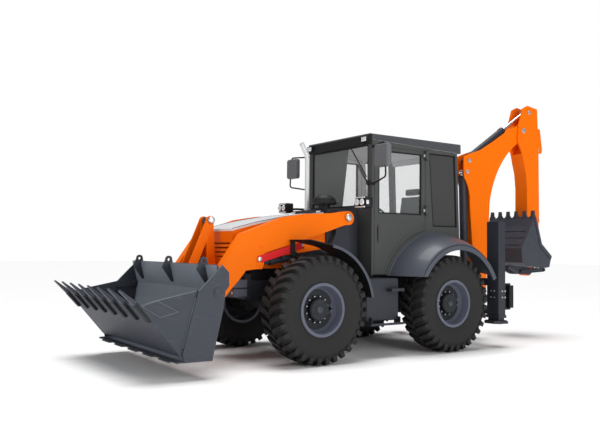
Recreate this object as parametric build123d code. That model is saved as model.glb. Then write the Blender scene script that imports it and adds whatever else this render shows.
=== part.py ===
from build123d import *
import math
import os

# Backhoe loader, millimetres, +X forward, +Y to its left, +Z up, standing on z = 0.
# Places on the machine are first given from the front axle (x = 0), and places on the
# backhoe from the kingpost's axis. The last step moves each node by CENTRE_X, so that
# the origin lies on the floor under the middle of the machine.

# Overall layout
CENTRE_X = -1397
WHEELBASE = 2243
REAR_AXLE_X = -WHEELBASE
SEAT_GAP = 0.3
PIN_FIT = 0.05
SIDE_GAP = 6

# Tyres: hollow carcass of flat facets with one lug per facet and side
TYRE_RADIUS = 667.5
TYRE_WIDTH = 430
LUG_HEIGHT = 38
LUG_WIDTH = 62
LUG_SLANT = 22
LUG_COUNT = 24
BEAD_RADIUS = 305
CAVITY_RADIUS = 585
CAVITY_HALF = 140
AXLE_Z = TYRE_RADIUS
WHEEL_Y = 954

# Rims with a deep disc and the hub's end cover, measured outwards from the wheel's middle
RIM_RADIUS = 327.5
RIM_WIDTH = 350
RIM_WALL = 14
DISC_FACE = 26
DISC_WALL = 16
HUB_RADIUS = 137
HUB_FACE = 105
HUB_BACK = 30
STUD_CIRCLE = 161
STUD_RADIUS = 12
STUD_LENGTH = 22
STUD_COUNT = 12
HAND_HOLE_CIRCLE = 215
HAND_HOLE_RADIUS = 24
SPINDLE_RADIUS = 55
SPINDLE_END = 60

# Steering knuckles and axles
KINGPIN_Y = 780
KINGPIN_RADIUS = 25
KNUCKLE_HALF_HEIGHT = 90
KNUCKLE_RADIUS = 62
YOKE_WALL = 35
YOKE_REACH = 60
AXLE_TUBE_RADIUS = 85
AXLE_HOUSING_RADIUS = 165
STEER_LIMIT = 20

# Chassis
RAIL_Y = 260
RAIL_WALL = 60
RAIL_LOW = 795
RAIL_TOP = 995
RAIL_FRONT = 560
NOSE_BLOCK_X = 600

# Loader arm and its cylinders
ARM_PIVOT = (-751, 1817)
ARM_INNER_Y = 530
ARM_OUTER_Y = 650
ARM_PLATE = 12
ARM_TIP = (1345, 620)
ARM_PIN_RADIUS = 32
ARM_BOSS_HEIGHT = 4
LIFT_EYE = (613, 1212)
LIFT_BASE = (-620, 1400)
LIFT_Y = (ARM_INNER_Y + ARM_OUTER_Y) / 2
LIFT_BARREL_RADIUS = 40
LIFT_ROD_RADIUS = 25
LIFT_BARREL_LENGTH = 1080
TOWER_OUTER_Y = ARM_INNER_Y - 10
TOWER_WALL = 90
TOWER_INNER_Y = TOWER_OUTER_Y - TOWER_WALL
BULKHEAD_FRONT = -560
BULKHEAD_TOP = 1940

# Tilt linkage in the middle of the loader arm
LEVER_PIVOT = (970, 1100)
TILT_APEX = (1000, 1745)
TILT_BASE = (1220, 850)
BUCKET_TILT_PIN = (1350, 930)
LEVER_INNER_Y = 60
LEVER_PLATE = 22
LINK_INNER_Y = LEVER_INNER_Y + LEVER_PLATE + SIDE_GAP
LINK_PLATE = 20
TILT_BARREL_RADIUS = 45
TILT_ROD_RADIUS = 28
TILT_BARREL_LENGTH = 590

# Loader bucket
BUCKET_HALF = 1215
BUCKET_WALL = 18
CLAM_PIVOT = (1480, 920)
TOOTH_COUNT = 8
TOOTH_WIDTH = 62
LIFTING_EYE = (1512, 1255)
LIFTING_EYE_RADIUS = 18
LIFTING_EYE_Y = 930

# Engine cover: top line of its lid from the nose to the hinge
HOOD_TOP = ((861, 1640), (136, 1805), (-530, 1890))
HOOD_HALF = 405
HOOD_WALL = 25
LID_WALL = 28
LID_HINGE = (-548, 1906)
LID_PIN = 9
SLOT_ROWS = (1285, 1340, 1395, 1450)
SLOT_HEIGHT = 20

# Cab
CAB_FRONT = -1100
CAB_REAR = REAR_AXLE_X - 572
CAB_REAR_TOP = REAR_AXLE_X - 502
CAB_HALF = 720
CAB_WALL = 40
CAB_BOTTOM = 1060
FLOOR_TOP = 1340
TUNNEL_HALF = 440
ROOF_FRONT = 2885
ROOF_REAR = 2830
ROOF_TOP = 2972
ROOF_LAP = 12
FASCIA_LOW = 2827
FASCIA_WALL = 35
SEAT_X = REAR_AXLE_X - 137
STEERING_HUB = (-1740, 1970)
STEERING_RADIUS = 190
HINGE_HEIGHTS = (1960, 2740)
HINGE_Y = 752
HINGE_RADIUS = 18
HINGE_PIN = 9
HINGE_HALF = 28
WELL_X = REAR_AXLE_X - 47
WELL_RADIUS = 950
DOOR_FRONT = CAB_FRONT - 50
DOOR_REAR = REAR_AXLE_X + 153
DOOR_TOP = 2800
DOOR_ARCH_RADIUS = 1030
DOOR_GAP = 6
WINDOW_LOW = 1890
WINDOW_HIGH = 2755
WINDOW_FRAME = 70
GLASS = 6

# Rear fenders and front mudguards
FENDER_OUTER_Y = 1215
FENDER_TOP_RADIUS = 970
FENDER_FLANGE = 15
FENDER_CREASE_DROP = 168
FENDER_LIP_DROP = 233
FENDER_WALL = 16
GUARD_RADIUS = 790
GUARD_WALL = 10
GUARD_OUTER_Y = 1130
GUARD_INNER_Y = 668

# Rear frame, stabilisers and side-shift carriage
FRAME_SETBACK = 115
FRAME_DEPTH = 150
FRAME_FRONT = WELL_X - FENDER_TOP_RADIUS + FRAME_SETBACK
FRAME_REAR = FRAME_FRONT - FRAME_DEPTH
POST_OUTER_Y = 1150
POST_INNER_Y = 930
POST_LOW = 425
POST_TOP = 1825
POST_WALL = 14
LEG_GAP = 0.5
FOOT_LOW = 345
FOOT_HEIGHT = 40
FOOT_HALF = 150
BEAM_LOW = (470, 570)
BEAM_HIGH = (890, 990)
HOE_Y = 200
CARRIAGE_HALF = 260
CARRIAGE_WALL = 70

# Backhoe, with its places from the kingpost's axis
KINGPOST_X = FRAME_REAR - 305
KINGPOST_LOW = 430
KINGPOST_HIGH = 830
KINGPOST_LUG = 50
KINGPOST_PIN = 45
BOOM_FOOT = (-190, 640)
BOOM_HALF = 95
BOOM_PLATE = 20
BOOM_ELBOW = (166, 2646)
BOOM_RAM_FOOT = (120, 925)
DIPPER_RAM_BASE = (117, 2824)
DIPPER_PIVOT = (-1187, 3431)
DIPPER_TAIL = (-1331, 3753)
DIPPER_INNER = BOOM_HALF + SIDE_GAP
DIPPER_PLATE = 20
DIPPER_NOSE = (-1355, 1063)
NOSE_HALF = 75
HOE_BUCKET_HALF = 450
HOE_BUCKET_WALL = 18
HOE_PIN_B = (-1120, 1055)
HOE_TEETH = 6
HOE_TOOTH_WIDTH = 60
TIPPER_PIVOT = (-1460, 1430)
TIPPER_JOINT = (-1710, 1083)
TIPPER_PIN = 24
TIPPER_PLATE = 20
HOE_RAM_BASE = (-1636, 3150)
BOOM_RAM_RADIUS = 62
BOOM_RAM_ROD = 38
BOOM_RAM_LENGTH = 1660
BOOM_RAM_PIN = 28
DIPPER_RAM_RADIUS = 55
DIPPER_RAM_ROD = 34
DIPPER_RAM_LENGTH = 1080
DIPPER_RAM_PIN = 30
HOE_RAM_RADIUS = 45
HOE_RAM_ROD = 28
HOE_RAM_LENGTH = 1250

# Rod travel that draws a cylinder in from its place at rest
LIFT_DRAW = 40
TILT_DRAW = 260
DIPPER_DRAW = 535
HOE_DRAW = 290


def box(low, high):
    """Block between two corners."""
    size = [high[i] - low[i] for i in range(3)]
    middle = [(high[i] + low[i]) / 2 for i in range(3)]
    return Pos(*middle) * Box(*size)


def outline(start, *legs):
    """Face in the XZ plane. A leg is (x, z) for a line, or (xm, zm, x, z) for an arc."""
    edges = []
    here = start
    for leg in legs + (start,):
        end = leg[-2:]
        if math.dist(here, end) < 1e-6:
            continue
        a = (here[0], 0, here[1])
        b = (end[0], 0, end[1])
        if len(leg) == 4:
            edges.append(ThreePointArc(a, (leg[0], 0, leg[1]), b))
        else:
            edges.append(Line(a, b))
        here = end
    return make_face(Wire(edges))


def slab(face, y_low, y_high):
    """Plate of an XZ face between two Y planes."""
    return extrude(Pos(0, y_low, 0) * face, amount=y_high - y_low, dir=(0, 1, 0))


def rod_along(plane, radius, length):
    """Cylinder that starts on a plane and stands along its normal."""
    return plane * Cylinder(radius, length, align=(Align.CENTER, Align.CENTER, Align.MIN))


def round_y(place, radius, y_low, y_high):
    """Cylinder along Y at an (x, z) place."""
    start = Plane(origin=(place[0], y_low, place[1]), z_dir=(0, 1, 0))
    return rod_along(start, radius, y_high - y_low)


def round_z(x, y, radius, z_low, z_high):
    """Upright cylinder."""
    return rod_along(Plane(origin=(x, y, z_low), z_dir=(0, 0, 1)), radius, z_high - z_low)


def bar(start, end, radius, y):
    """Round bar between two (x, z) places at one Y."""
    a = Vector(start[0], y, start[1])
    b = Vector(end[0], y, end[1])
    return rod_along(Plane(origin=a, z_dir=(b - a)), radius, (b - a).length)


def toward(start, end, distance):
    """Place on the line from start to end, at a distance from start."""
    share = distance / math.dist(start, end)
    return (start[0] + (end[0] - start[0]) * share, start[1] + (end[1] - start[1]) * share)


def polar(centre, radius, degrees):
    """Place on a circle in the XZ plane, measured from +X towards +Z."""
    angle = math.radians(degrees)
    return (centre[0] + radius * math.cos(angle), centre[1] + radius * math.sin(angle))


def both_sides(shape):
    """Shape and its mirror image across the middle plane."""
    return shape + mirror(shape, about=Plane.XZ)


def plank(a, b, half, y_low, y_high):
    """Flat plate along the line between two (x, z) places."""
    length = math.dist(a, b)
    nx = (b[1] - a[1]) / length * half
    nz = (a[0] - b[0]) / length * half
    corners = [(a[0] + nx, a[1] + nz), (b[0] + nx, b[1] + nz), (b[0] - nx, b[1] - nz), (a[0] - nx, a[1] - nz)]
    return slab(outline(*corners), y_low, y_high)


def strap(a, b, half, y_low, y_high):
    """Flat link between two (x, z) pins with rounded ends."""
    ends = round_y(a, half, y_low, y_high) + round_y(b, half, y_low, y_high)
    return plank(a, b, half, y_low, y_high) + ends


def ram(base, eye, radius, rod_radius, length, eye_radius, eye_half, pin, draw=0):
    """Hydraulic cylinder about y = 0, from its base pin to its rod's eye: barrel and rod."""
    mouth = toward(base, eye, length)
    floor = eye_radius + 20
    barrel = bar(toward(base, eye, eye_radius * 0.8), mouth, radius, 0)
    barrel = barrel + round_y(base, eye_radius, -eye_half, eye_half)
    barrel = barrel + bar(toward(base, eye, length - 70), mouth, radius + 6, 0)
    barrel = barrel - bar(toward(base, eye, floor), toward(base, eye, length + 1), rod_radius + PIN_FIT, 0)
    barrel = barrel - round_y(base, pin + PIN_FIT, -eye_half - 5, eye_half + 5)
    rod = bar(toward(base, eye, floor + draw + 5), toward(eye, base, eye_radius * 0.8), rod_radius, 0)
    return barrel, rod + round_y(eye, eye_radius, -eye_half, eye_half)


def polygon_y(y, radius, sides):
    """Polygon across the Y axis."""
    return Plane(origin=(0, y, 0), z_dir=(0, 1, 0)) * RegularPolygon(radius, sides)


def tyre():
    """One tyre about the Y axis, centred on the origin: hollow carcass and slanted lugs."""
    shoulder = TYRE_RADIUS - LUG_HEIGHT
    bead = RIM_WIDTH / 2 - RIM_WALL - 1
    half = TYRE_WIDTH / 2
    sections = [(bead, 345), (half, 490), (half - 48, shoulder)]
    sections = [(-y, radius) for y, radius in sections] + sections[::-1]
    carcass = loft([polygon_y(y, radius, LUG_COUNT) for y, radius in sections], ruled=True)
    bore = BEAD_RADIUS / math.cos(math.pi / LUG_COUNT)
    carcass = carcass - extrude(polygon_y(-half, bore, LUG_COUNT), amount=2 * half)
    cavity = polygon_y(-CAVITY_HALF, CAVITY_RADIUS, LUG_COUNT // 2)
    carcass = carcass - extrude(cavity, amount=2 * CAVITY_HALF)
    slant = math.radians(LUG_SLANT)
    corner = LUG_WIDTH / 2 * math.cos(slant) + (half - 60) * math.sin(slant)
    top = math.sqrt(TYRE_RADIUS ** 2 - corner ** 2)
    corners = [(0, 8, 590), (0, 8, top), (0, half - 60, top), (0, half - 4, 575), (0, 150, 560)]
    block = make_face(Polyline(*corners, close=True))
    lug = extrude(block, amount=LUG_WIDTH / 2, both=True, dir=(1, 0, 0))
    lug = Rot(0, 0, LUG_SLANT) * lug
    pitch = 360 / LUG_COUNT
    left = [Rot(0, pitch * n, 0) * lug for n in range(LUG_COUNT)]
    other = mirror(lug, about=Plane.XZ)
    right = [Rot(0, pitch * (n + 0.5), 0) * other for n in range(LUG_COUNT)]
    return carcass + left + right


def rim():
    """Wheel rim with its disc, hub and studs, about Y, outer side towards +Y."""
    half = RIM_WIDTH / 2
    barrel = BEAD_RADIUS - SEAT_GAP
    inner = barrel - RIM_WALL
    back = DISC_FACE - DISC_WALL
    profile = [
        (inner, -half),
        (RIM_RADIUS, -half),
        (RIM_RADIUS, -half + RIM_WALL),
        (barrel, -half + RIM_WALL),
        (barrel, half - RIM_WALL),
        (RIM_RADIUS, half - RIM_WALL),
        (RIM_RADIUS, half - 4),
        (RIM_RADIUS - 6, half),
        (inner, half),
        (inner - 20, DISC_FACE + 40),
        (HAND_HOLE_CIRCLE + 30, DISC_FACE),
        (HUB_RADIUS, DISC_FACE),
        (HUB_RADIUS, HUB_FACE - 12),
        (HUB_RADIUS - 12, HUB_FACE),
        (0, HUB_FACE),
        (0, -HUB_BACK),
        (HUB_RADIUS, -HUB_BACK),
        (HUB_RADIUS, back),
        (HAND_HOLE_CIRCLE + 30, back),
        (inner - 12, DISC_FACE),
        (inner, -20),
    ]
    face = make_face(Polyline(*[(r, y, 0) for r, y in profile], close=True))
    wheel = revolve(face, axis=Axis.Y)
    pitch = 360 / STUD_COUNT
    stud_end = DISC_FACE + STUD_LENGTH
    studs = [
        round_y(polar((0, 0), STUD_CIRCLE, pitch * (n + 0.5)), STUD_RADIUS, DISC_FACE - 5, stud_end)
        for n in range(STUD_COUNT)
    ]
    wheel = wheel + studs
    for angle in (0, 180):
        hole = polar((0, 0), HAND_HOLE_CIRCLE, angle)
        wheel = wheel - round_y(hole, HAND_HOLE_RADIUS, back - 10, DISC_FACE + 40)
    return wheel - round_y((0, 0), SPINDLE_RADIUS + PIN_FIT, -HUB_BACK - 1, SPINDLE_END + 1)


def knuckle():
    """Left steering knuckle: kingpin, upright and spindle."""
    low = AXLE_Z - KNUCKLE_HALF_HEIGHT
    high = AXLE_Z + KNUCKLE_HALF_HEIGHT
    reach = YOKE_WALL + SIDE_GAP + 2
    upright = round_z(0, KINGPIN_Y, KNUCKLE_RADIUS, low, high)
    pin = round_z(0, KINGPIN_Y, KINGPIN_RADIUS, low - reach, high + reach)
    spindle = round_y((0, AXLE_Z), SPINDLE_RADIUS, KINGPIN_Y, WHEEL_Y + SPINDLE_END)
    flange = round_y((0, AXLE_Z), 80, KINGPIN_Y + 45, KINGPIN_Y + 75)
    return upright + pin + spindle + flange


def axle():
    """Axle beam with its swollen housing and yoke ends, across the machine at x = 0."""
    end = KINGPIN_Y - 140
    profile = [
        (0, -end), (AXLE_TUBE_RADIUS, -end), (AXLE_TUBE_RADIUS, -260), (AXLE_HOUSING_RADIUS, -120),
        (AXLE_HOUSING_RADIUS, 120), (AXLE_TUBE_RADIUS, 260), (AXLE_TUBE_RADIUS, end), (0, end),
    ]
    beam = revolve(make_face(Polyline(*[(r, y, 0) for r, y in profile], close=True)), axis=Axis.Y)
    beam = Pos(0, 0, AXLE_Z) * beam
    pad = box((-90, -RAIL_Y - 30, AXLE_Z), (90, RAIL_Y + 30, RAIL_LOW - SEAT_GAP))
    low = KNUCKLE_HALF_HEIGHT + SIDE_GAP
    high = low + YOKE_WALL
    yoke = box((-YOKE_REACH, end - 40, AXLE_Z - high), (YOKE_REACH, end + 20, AXLE_Z + high))
    for z in (AXLE_Z + low, AXLE_Z - high):
        yoke = yoke + box((-YOKE_REACH, end - 40, z), (YOKE_REACH, KINGPIN_Y, z + YOKE_WALL))
        yoke = yoke + round_z(0, KINGPIN_Y, YOKE_REACH, z, z + YOKE_WALL)
    yoke = yoke - round_z(0, KINGPIN_Y, KINGPIN_RADIUS + PIN_FIT, AXLE_Z - high - 1, AXLE_Z + high + 1)
    return beam + pad + both_sides(yoke)


def chassis_frame():
    """Two rails with cross members, nose block, tank outriggers and the tower's feet."""
    low_y = RAIL_Y - RAIL_WALL / 2
    high_y = RAIL_Y + RAIL_WALL / 2
    rail = box((FRAME_FRONT + SEAT_GAP, low_y, RAIL_LOW), (RAIL_FRONT, high_y, RAIL_TOP))
    notch = box((FRAME_FRONT - 5, low_y - 5, BEAM_HIGH[1] - 50), (FRAME_FRONT + 60, high_y + 5, RAIL_TOP + 5))
    frame = both_sides(rail - notch)
    for x in (-1500, -2700):
        frame = frame + box((x - 50, -RAIL_Y, RAIL_LOW + 35), (x + 50, RAIL_Y, RAIL_TOP - 35))
    frame = frame + box((RAIL_FRONT - 40, -RAIL_Y - 30, 760), (NOSE_BLOCK_X, RAIL_Y + 30, 1080))
    for x in (-900, -1320):
        frame = frame + both_sides(box((x - 40, RAIL_Y, 830), (x + 40, 560 - SEAT_GAP, 900)))
    tower_foot = box((-900, RAIL_Y, 905), (-700, TOWER_INNER_Y - SEAT_GAP, 985))
    return frame + both_sides(tower_foot)


def front_weight():
    """Stacked ballast slabs ahead of the nose block."""
    back = NOSE_BLOCK_X + SEAT_GAP
    lower = box((back, -340, 800), (790, 340, 892))
    upper = box((back, -340, 912), (790, 340, 1010))
    return lower + upper + box((back, -300, 880), (770, 300, 920))


def engine():
    """Engine and gearbox as plain blocks at their real place."""
    half = RAIL_Y - RAIL_WALL / 2 - SEAT_GAP
    block = box((-430, -half, 900), (480, half, 1420))
    bell = box((-600, -150, 860), (-420, 150, 1140))
    gearbox = box((-1250, -half, 640), (-570, half, 1000))
    return block + bell + gearbox


def loader_tower():
    """Tower plates for the loader arm and lift cylinders, the bulkhead and the lid's hinge ears."""
    shape = outline(
        (-900, 905), (-680, 905), (-640, 1250), (-560, 1360), (-560, 1440), (-650, 1600),
        (-665, 1830), (ARM_PIVOT[0], 1905, -840, 1830), (-900, 1500),
    )
    plate = slab(shape, TOWER_INNER_Y, TOWER_OUTER_Y)
    plate = plate + round_y(ARM_PIVOT, ARM_PIN_RADIUS, TOWER_OUTER_Y - 5, ARM_OUTER_Y + 14)
    plate = plate + round_y(LIFT_BASE, 24, TOWER_OUTER_Y - 5, LIFT_Y + 34)
    rear = CAB_FRONT + 5
    cover = outline(
        (rear, 1180), (BULKHEAD_FRONT, 1180), (BULKHEAD_FRONT, 1870), (BULKHEAD_FRONT - 40, BULKHEAD_TOP),
        (rear, BULKHEAD_TOP),
    )
    tower = both_sides(plate) + slab(cover, -TOWER_INNER_Y - 5, TOWER_INNER_Y + 5)
    for y in (-300, 300):
        for low in (y - 40, y + 25 + SEAT_GAP):
            tower = tower + box((BULKHEAD_FRONT - 20, low, 1885), (LID_HINGE[0], low + 15, LID_HINGE[1] + 10))
            tower = tower + round_y(LID_HINGE, 14, low, low + 15)
        tower = tower + round_y(LID_HINGE, LID_PIN, y - 40, y + 40)
    return tower


def hood_line(drop):
    """Start, middle and end of the engine cover's top line, lowered by a drop."""
    return [(x, z - drop) for x, z in HOOD_TOP]


def cowl():
    """Engine cover's nose and sides: thin walls that carry the lid, with a slotted front."""
    drop = LID_WALL + SEAT_GAP
    front, middle, end = hood_line(drop)
    rear = BULKHEAD_FRONT + SEAT_GAP
    sides = outline(
        (850, 1190), (850, 1490), front, (middle[0], middle[1], end[0], end[1]),
        (rear, end[1]), (rear, 1150), (790, 1150),
    )
    shell = slab(sides, -HOOD_HALF, HOOD_HALF)
    hollow = outline((825, 1100), (825, 1490), (812, 1700), (812, 2000), (rear - 5, 2000), (rear - 5, 1100))
    shell = shell - slab(hollow, -HOOD_HALF + HOOD_WALL, HOOD_HALF - HOOD_WALL)
    for z in SLOT_ROWS:
        shell = shell - box((780, -330, z), (900, 330, z + SLOT_HEIGHT))
    return shell


def hood_lid():
    """Top panel of the engine cover, hinged at its rear edge."""
    top = hood_line(0)
    low = hood_line(LID_WALL)
    crown = outline(
        top[0], (top[1][0], top[1][1], top[2][0], top[2][1]),
        low[2], (low[1][0], low[1][1], low[0][0], low[0][1]),
    )
    lid = slab(crown, -HOOD_HALF, HOOD_HALF)
    for y in (-300, 300):
        near = y - 25 + SEAT_GAP
        lid = lid + box((LID_HINGE[0], near, LID_HINGE[1] - 12), (-500, y + 25, LID_HINGE[1] + 6))
        lid = lid + box((-528, near, 1866), (-500, y + 25, LID_HINGE[1] + 6))
        lid = lid + round_y(LID_HINGE, 14, near, y + 25)
        lid = lid - round_y(LID_HINGE, LID_PIN + PIN_FIT, y - 30, y + 30)
    return lid


def exhaust():
    """Exhaust pipe with its bent open tip, and the mushroom intake beside it."""
    foot = BULKHEAD_TOP + SEAT_GAP
    path = Wire([
        Line((-660, -160, foot), (-660, -160, 2640)),
        ThreePointArc((-660, -160, 2640), (-650, -160, 2710), (-620, -160, 2772)),
        Line((-620, -160, 2772), (-556, -160, 2884)),
    ])
    start = Plane(origin=(-660, -160, foot), z_dir=(0, 0, 1))
    pipe = sweep(start * Circle(33), path=path) + round_z(-660, -160, 46, foot, foot + 30)
    tip = Plane(origin=(-620, -160, 2772), z_dir=(64, 0, 112))
    pipe = pipe - rod_along(tip, 29, 200)
    stem = round_z(-660, 240, 80, foot, 2030)
    dome = [(0, 0, 2005), (165, 0, 2005), (175, 0, 2030), (150, 0, 2090), (95, 0, 2130), (0, 0, 2140)]
    cap = make_face(Polyline(*dome, close=True))
    return pipe + stem + Pos(-660, 240, 0) * revolve(cap, axis=Axis.Z)


def cab_rear_x(z):
    """X of the cab's leaning rear wall at a height."""
    return CAB_REAR_TOP + (CAB_REAR - CAB_REAR_TOP) * (ROOF_REAR - z) / (ROOF_REAR - CAB_BOTTOM)


def cab_profile(inset, low, over=0):
    """Side view of the cab, set in from its walls, from a low height to above its top edge."""
    return outline(
        (CAB_FRONT - inset, low), (CAB_FRONT - inset, ROOF_FRONT + over),
        (CAB_REAR_TOP + inset, ROOF_REAR + over), (cab_rear_x(low) + inset, low),
    )


def quarter_profile(grow=0.0):
    """Rear side window, with its front edge leaning along the door pillar."""
    low = 1735 - grow
    high = 2790 + grow
    return outline(
        (-2245 + grow, low), (-2165 + grow, high), (cab_rear_x(high) + 45 - grow, high),
        (cab_rear_x(low) + 45 - grow, low),
    )


def door_profile(grow=0.0):
    """Door outline, grown outwards by a gap."""
    front = DOOR_FRONT + grow
    rear = DOOR_REAR - grow
    low = CAB_BOTTOM + 10 - grow
    top = DOOR_TOP + grow
    radius = DOOR_ARCH_RADIUS - grow
    centre = (WELL_X, AXLE_Z)
    reach = math.sqrt(radius ** 2 - (low - AXLE_Z) ** 2)
    high = AXLE_Z + math.sqrt(radius ** 2 - (rear - WELL_X) ** 2)
    middle = polar(centre, radius, 50)
    return outline(
        (front, low), (front, top), (rear, top), (rear, high), (middle[0], middle[1], WELL_X + reach, low),
    )


def door_hinges():
    """Fixed halves of the left door's hinges, with their pins."""
    hinges = Part()
    for z in HINGE_HEIGHTS:
        reach = HINGE_HALF * 2
        hinges = hinges + round_z(DOOR_REAR, HINGE_Y, HINGE_PIN, z - reach, z + reach)
        for low in (z - reach, z + HINGE_HALF):
            high = low + HINGE_HALF
            front = DOOR_REAR - DOOR_GAP - 2
            hinges = hinges + box((DOOR_REAR - 60, CAB_HALF - 5, low), (front, HINGE_Y, high))
            hinges = hinges + box((DOOR_REAR - 14, HINGE_Y - 10, low), (DOOR_REAR, HINGE_Y + 10, high))
            hinges = hinges + round_z(DOOR_REAR, HINGE_Y, HINGE_RADIUS, low, high)
    return hinges


def cab_frame():
    """Hollow cab body: walls, floor plate, wheel wells, window openings, feet and door hinges."""
    inside = CAB_HALF - CAB_WALL
    centre = (WELL_X, AXLE_Z)
    well = both_sides(round_y(centre, WELL_RADIUS, TUNNEL_HALF, CAB_HALF + 10))
    hump = both_sides(round_y(centre, WELL_RADIUS + CAB_WALL, TUNNEL_HALF - CAB_WALL, CAB_HALF + 10))
    shell = slab(cab_profile(0, CAB_BOTTOM), -CAB_HALF, CAB_HALF)
    room = slab(cab_profile(CAB_WALL, FLOOR_TOP, 20), -inside, inside)
    below = slab(cab_profile(CAB_WALL, CAB_BOTTOM - 10), -inside, inside)
    below = below - box((CAB_REAR - 20, -CAB_HALF, FLOOR_TOP - CAB_WALL), (CAB_FRONT, CAB_HALF, ROOF_TOP))
    shell = shell - (room - hump) - (below - hump) - well
    shell = shell - slab(door_profile(DOOR_GAP), -CAB_HALF - 10, CAB_HALF + 10)
    shell = shell - box((CAB_FRONT - 60, -640, 1990), (CAB_FRONT + 20, 640, 2825))
    shell = shell - box((CAB_REAR - 20, -620, 1880), (CAB_REAR_TOP + 60, 620, 2750))
    shell = shell - slab(quarter_profile(), -CAB_HALF - 10, CAB_HALF + 10)
    feet = Part()
    for x in (-1180, -1440, -2745):
        feet = feet + box((x - 50, 231, RAIL_TOP + SEAT_GAP), (x + 50, 300, FLOOR_TOP - CAB_WALL + 5))
    return shell + both_sides(feet + door_hinges())


def cab_roof():
    """Domed roof with rounded corners and a front fascia that drops over the windscreen."""
    front = CAB_FRONT + FASCIA_WALL
    rear = CAB_REAR_TOP - 98
    side = outline(
        (front, FASCIA_LOW), (front, ROOF_TOP - 30), (front - 8, ROOF_TOP - 8, front - 30, ROOF_TOP),
        (rear + 70, ROOF_TOP + 6), (rear + 20, ROOF_TOP - 12, rear, ROOF_TOP - 60), (rear, ROOF_REAR + 25),
        (rear + 25, ROOF_REAR + SEAT_GAP), (CAB_REAR_TOP, ROOF_REAR + SEAT_GAP),
        (CAB_FRONT, ROOF_FRONT + SEAT_GAP),
        (CAB_FRONT + SEAT_GAP, ROOF_FRONT + SEAT_GAP), (CAB_FRONT + SEAT_GAP, FASCIA_LOW),
    )
    half = CAB_HALF + ROOF_LAP
    section = outline(
        (-half, FASCIA_LOW - 10), (-half, ROOF_TOP - 38), (-half + 12, ROOF_TOP - 12, -half + 45, ROOF_TOP - 2),
        (0, ROOF_TOP + 14, half - 45, ROOF_TOP - 2), (half - 12, ROOF_TOP - 12, half, ROOF_TOP - 38),
        (half, FASCIA_LOW - 10),
    )
    roof = slab(side, -half - 20, half + 20) & (Rot(0, 0, 90) * slab(section, -front - 5, -rear + 5))
    plan = RectangleRounded(front - rear + 2, 2 * half + 2, 60)
    return roof & extrude(Pos((front + rear) / 2, 0, FASCIA_LOW - 20) * plan, amount=400)


def cab_glass():
    """Windscreen, rear window and quarter windows, seated in their openings."""
    edge = SEAT_GAP
    face = CAB_FRONT - 24
    screen = box((face, -640 + edge, 1990 + edge), (face + GLASS, 640 - edge, 2825 - edge))
    low = 1880 + edge
    high = 2750 - edge
    rear = outline(
        (cab_rear_x(low) + 18, low), (cab_rear_x(high) + 18, high),
        (cab_rear_x(high) + 18 + GLASS, high), (cab_rear_x(low) + 18 + GLASS, low),
    )
    quarter = slab(quarter_profile(-edge), CAB_HALF - 24, CAB_HALF - 24 + GLASS)
    return screen + slab(rear, -620 + edge, 620 - edge) + both_sides(quarter)


def door_window(edge, y_low, y_high):
    """Block of the left door's window, smaller by an edge gap."""
    front = DOOR_FRONT - WINDOW_FRAME - edge
    rear = DOOR_REAR + WINDOW_FRAME + edge
    return box((rear, y_low, WINDOW_LOW + edge), (front, y_high, WINDOW_HIGH - edge))


def door():
    """Left door with its window opening, pressed lower panel, handle recess and hinge halves."""
    leaf = slab(door_profile(), CAB_HALF - CAB_WALL, CAB_HALF)
    leaf = leaf - door_window(0, CAB_HALF - 60, CAB_HALF + 20)
    press = slab(door_profile(-45), CAB_HALF - 4, CAB_HALF + 10)
    leaf = leaf - (press & box((DOOR_REAR, 0, CAB_BOTTOM), (DOOR_FRONT, CAB_HALF + 20, 1790)))
    leaf = leaf - box((DOOR_FRONT - 75, CAB_HALF - 16, 1500), (DOOR_FRONT - 50, CAB_HALF + 10, 1740))
    for z in HINGE_HEIGHTS:
        low = z - HINGE_HALF + SEAT_GAP
        high = z + HINGE_HALF - SEAT_GAP
        leaf = leaf + box((DOOR_REAR, CAB_HALF - 5, low), (DOOR_REAR + 50, CAB_HALF + 20, high))
        leaf = leaf + box((DOOR_REAR, CAB_HALF + 12, low), (DOOR_REAR + 14, HINGE_Y, high))
        leaf = leaf + round_z(DOOR_REAR, HINGE_Y, HINGE_RADIUS, low, high)
        leaf = leaf - round_z(DOOR_REAR, HINGE_Y, HINGE_PIN + PIN_FIT, low - 5, high + 5)
    return leaf


def seat():
    """Driver's seat on its pedestal: cushion, and a high back with a narrower top."""
    floor = FLOOR_TOP + SEAT_GAP
    foot = box((-140, -200, floor), (140, 200, floor + 40)) + box((-100, -140, floor + 30), (100, 140, 1720))
    pan = box((-140, -210, 1700), (260, 210, 1750))
    face = outline((-140, 1745), (-140, 1850), (230, 1865), (290, 1855, 300, 1800), (290, 1745))
    cushion = slab(face, -240, 240)
    back = outline((-150, 1800), (-40, 1840), (-110, 2190), (-125, 2245), (-225, 2235), (-190, 1900))
    head = outline((-120, 2240), (-130, 2325), (-160, 2350, -195, 2342), (-225, 2230))
    place = Pos(SEAT_X, 0, 0)
    return place * (foot + pan + cushion + slab(back, -230, 230) + slab(head, -160, 160))


def console():
    """Dashboard column with the steering wheel on its leaning shaft."""
    front = CAB_FRONT - CAB_WALL - SEAT_GAP
    floor = FLOOR_TOP + SEAT_GAP
    side = outline((front, floor), (-1260, floor), (-1290, 1600), (-1440, 1875), (-1400, 1920), (front, 1950))
    tilt = Pos(STEERING_HUB[0], 0, STEERING_HUB[1]) * Rot(0, -30, 0)
    radius = STEERING_RADIUS
    wheel = tilt * Torus(radius, 14) + tilt * Box(30, 2 * radius, 14)
    return slab(side, -180, 180) + bar((-1400, 1890), STEERING_HUB, 22, 0) + wheel


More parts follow.
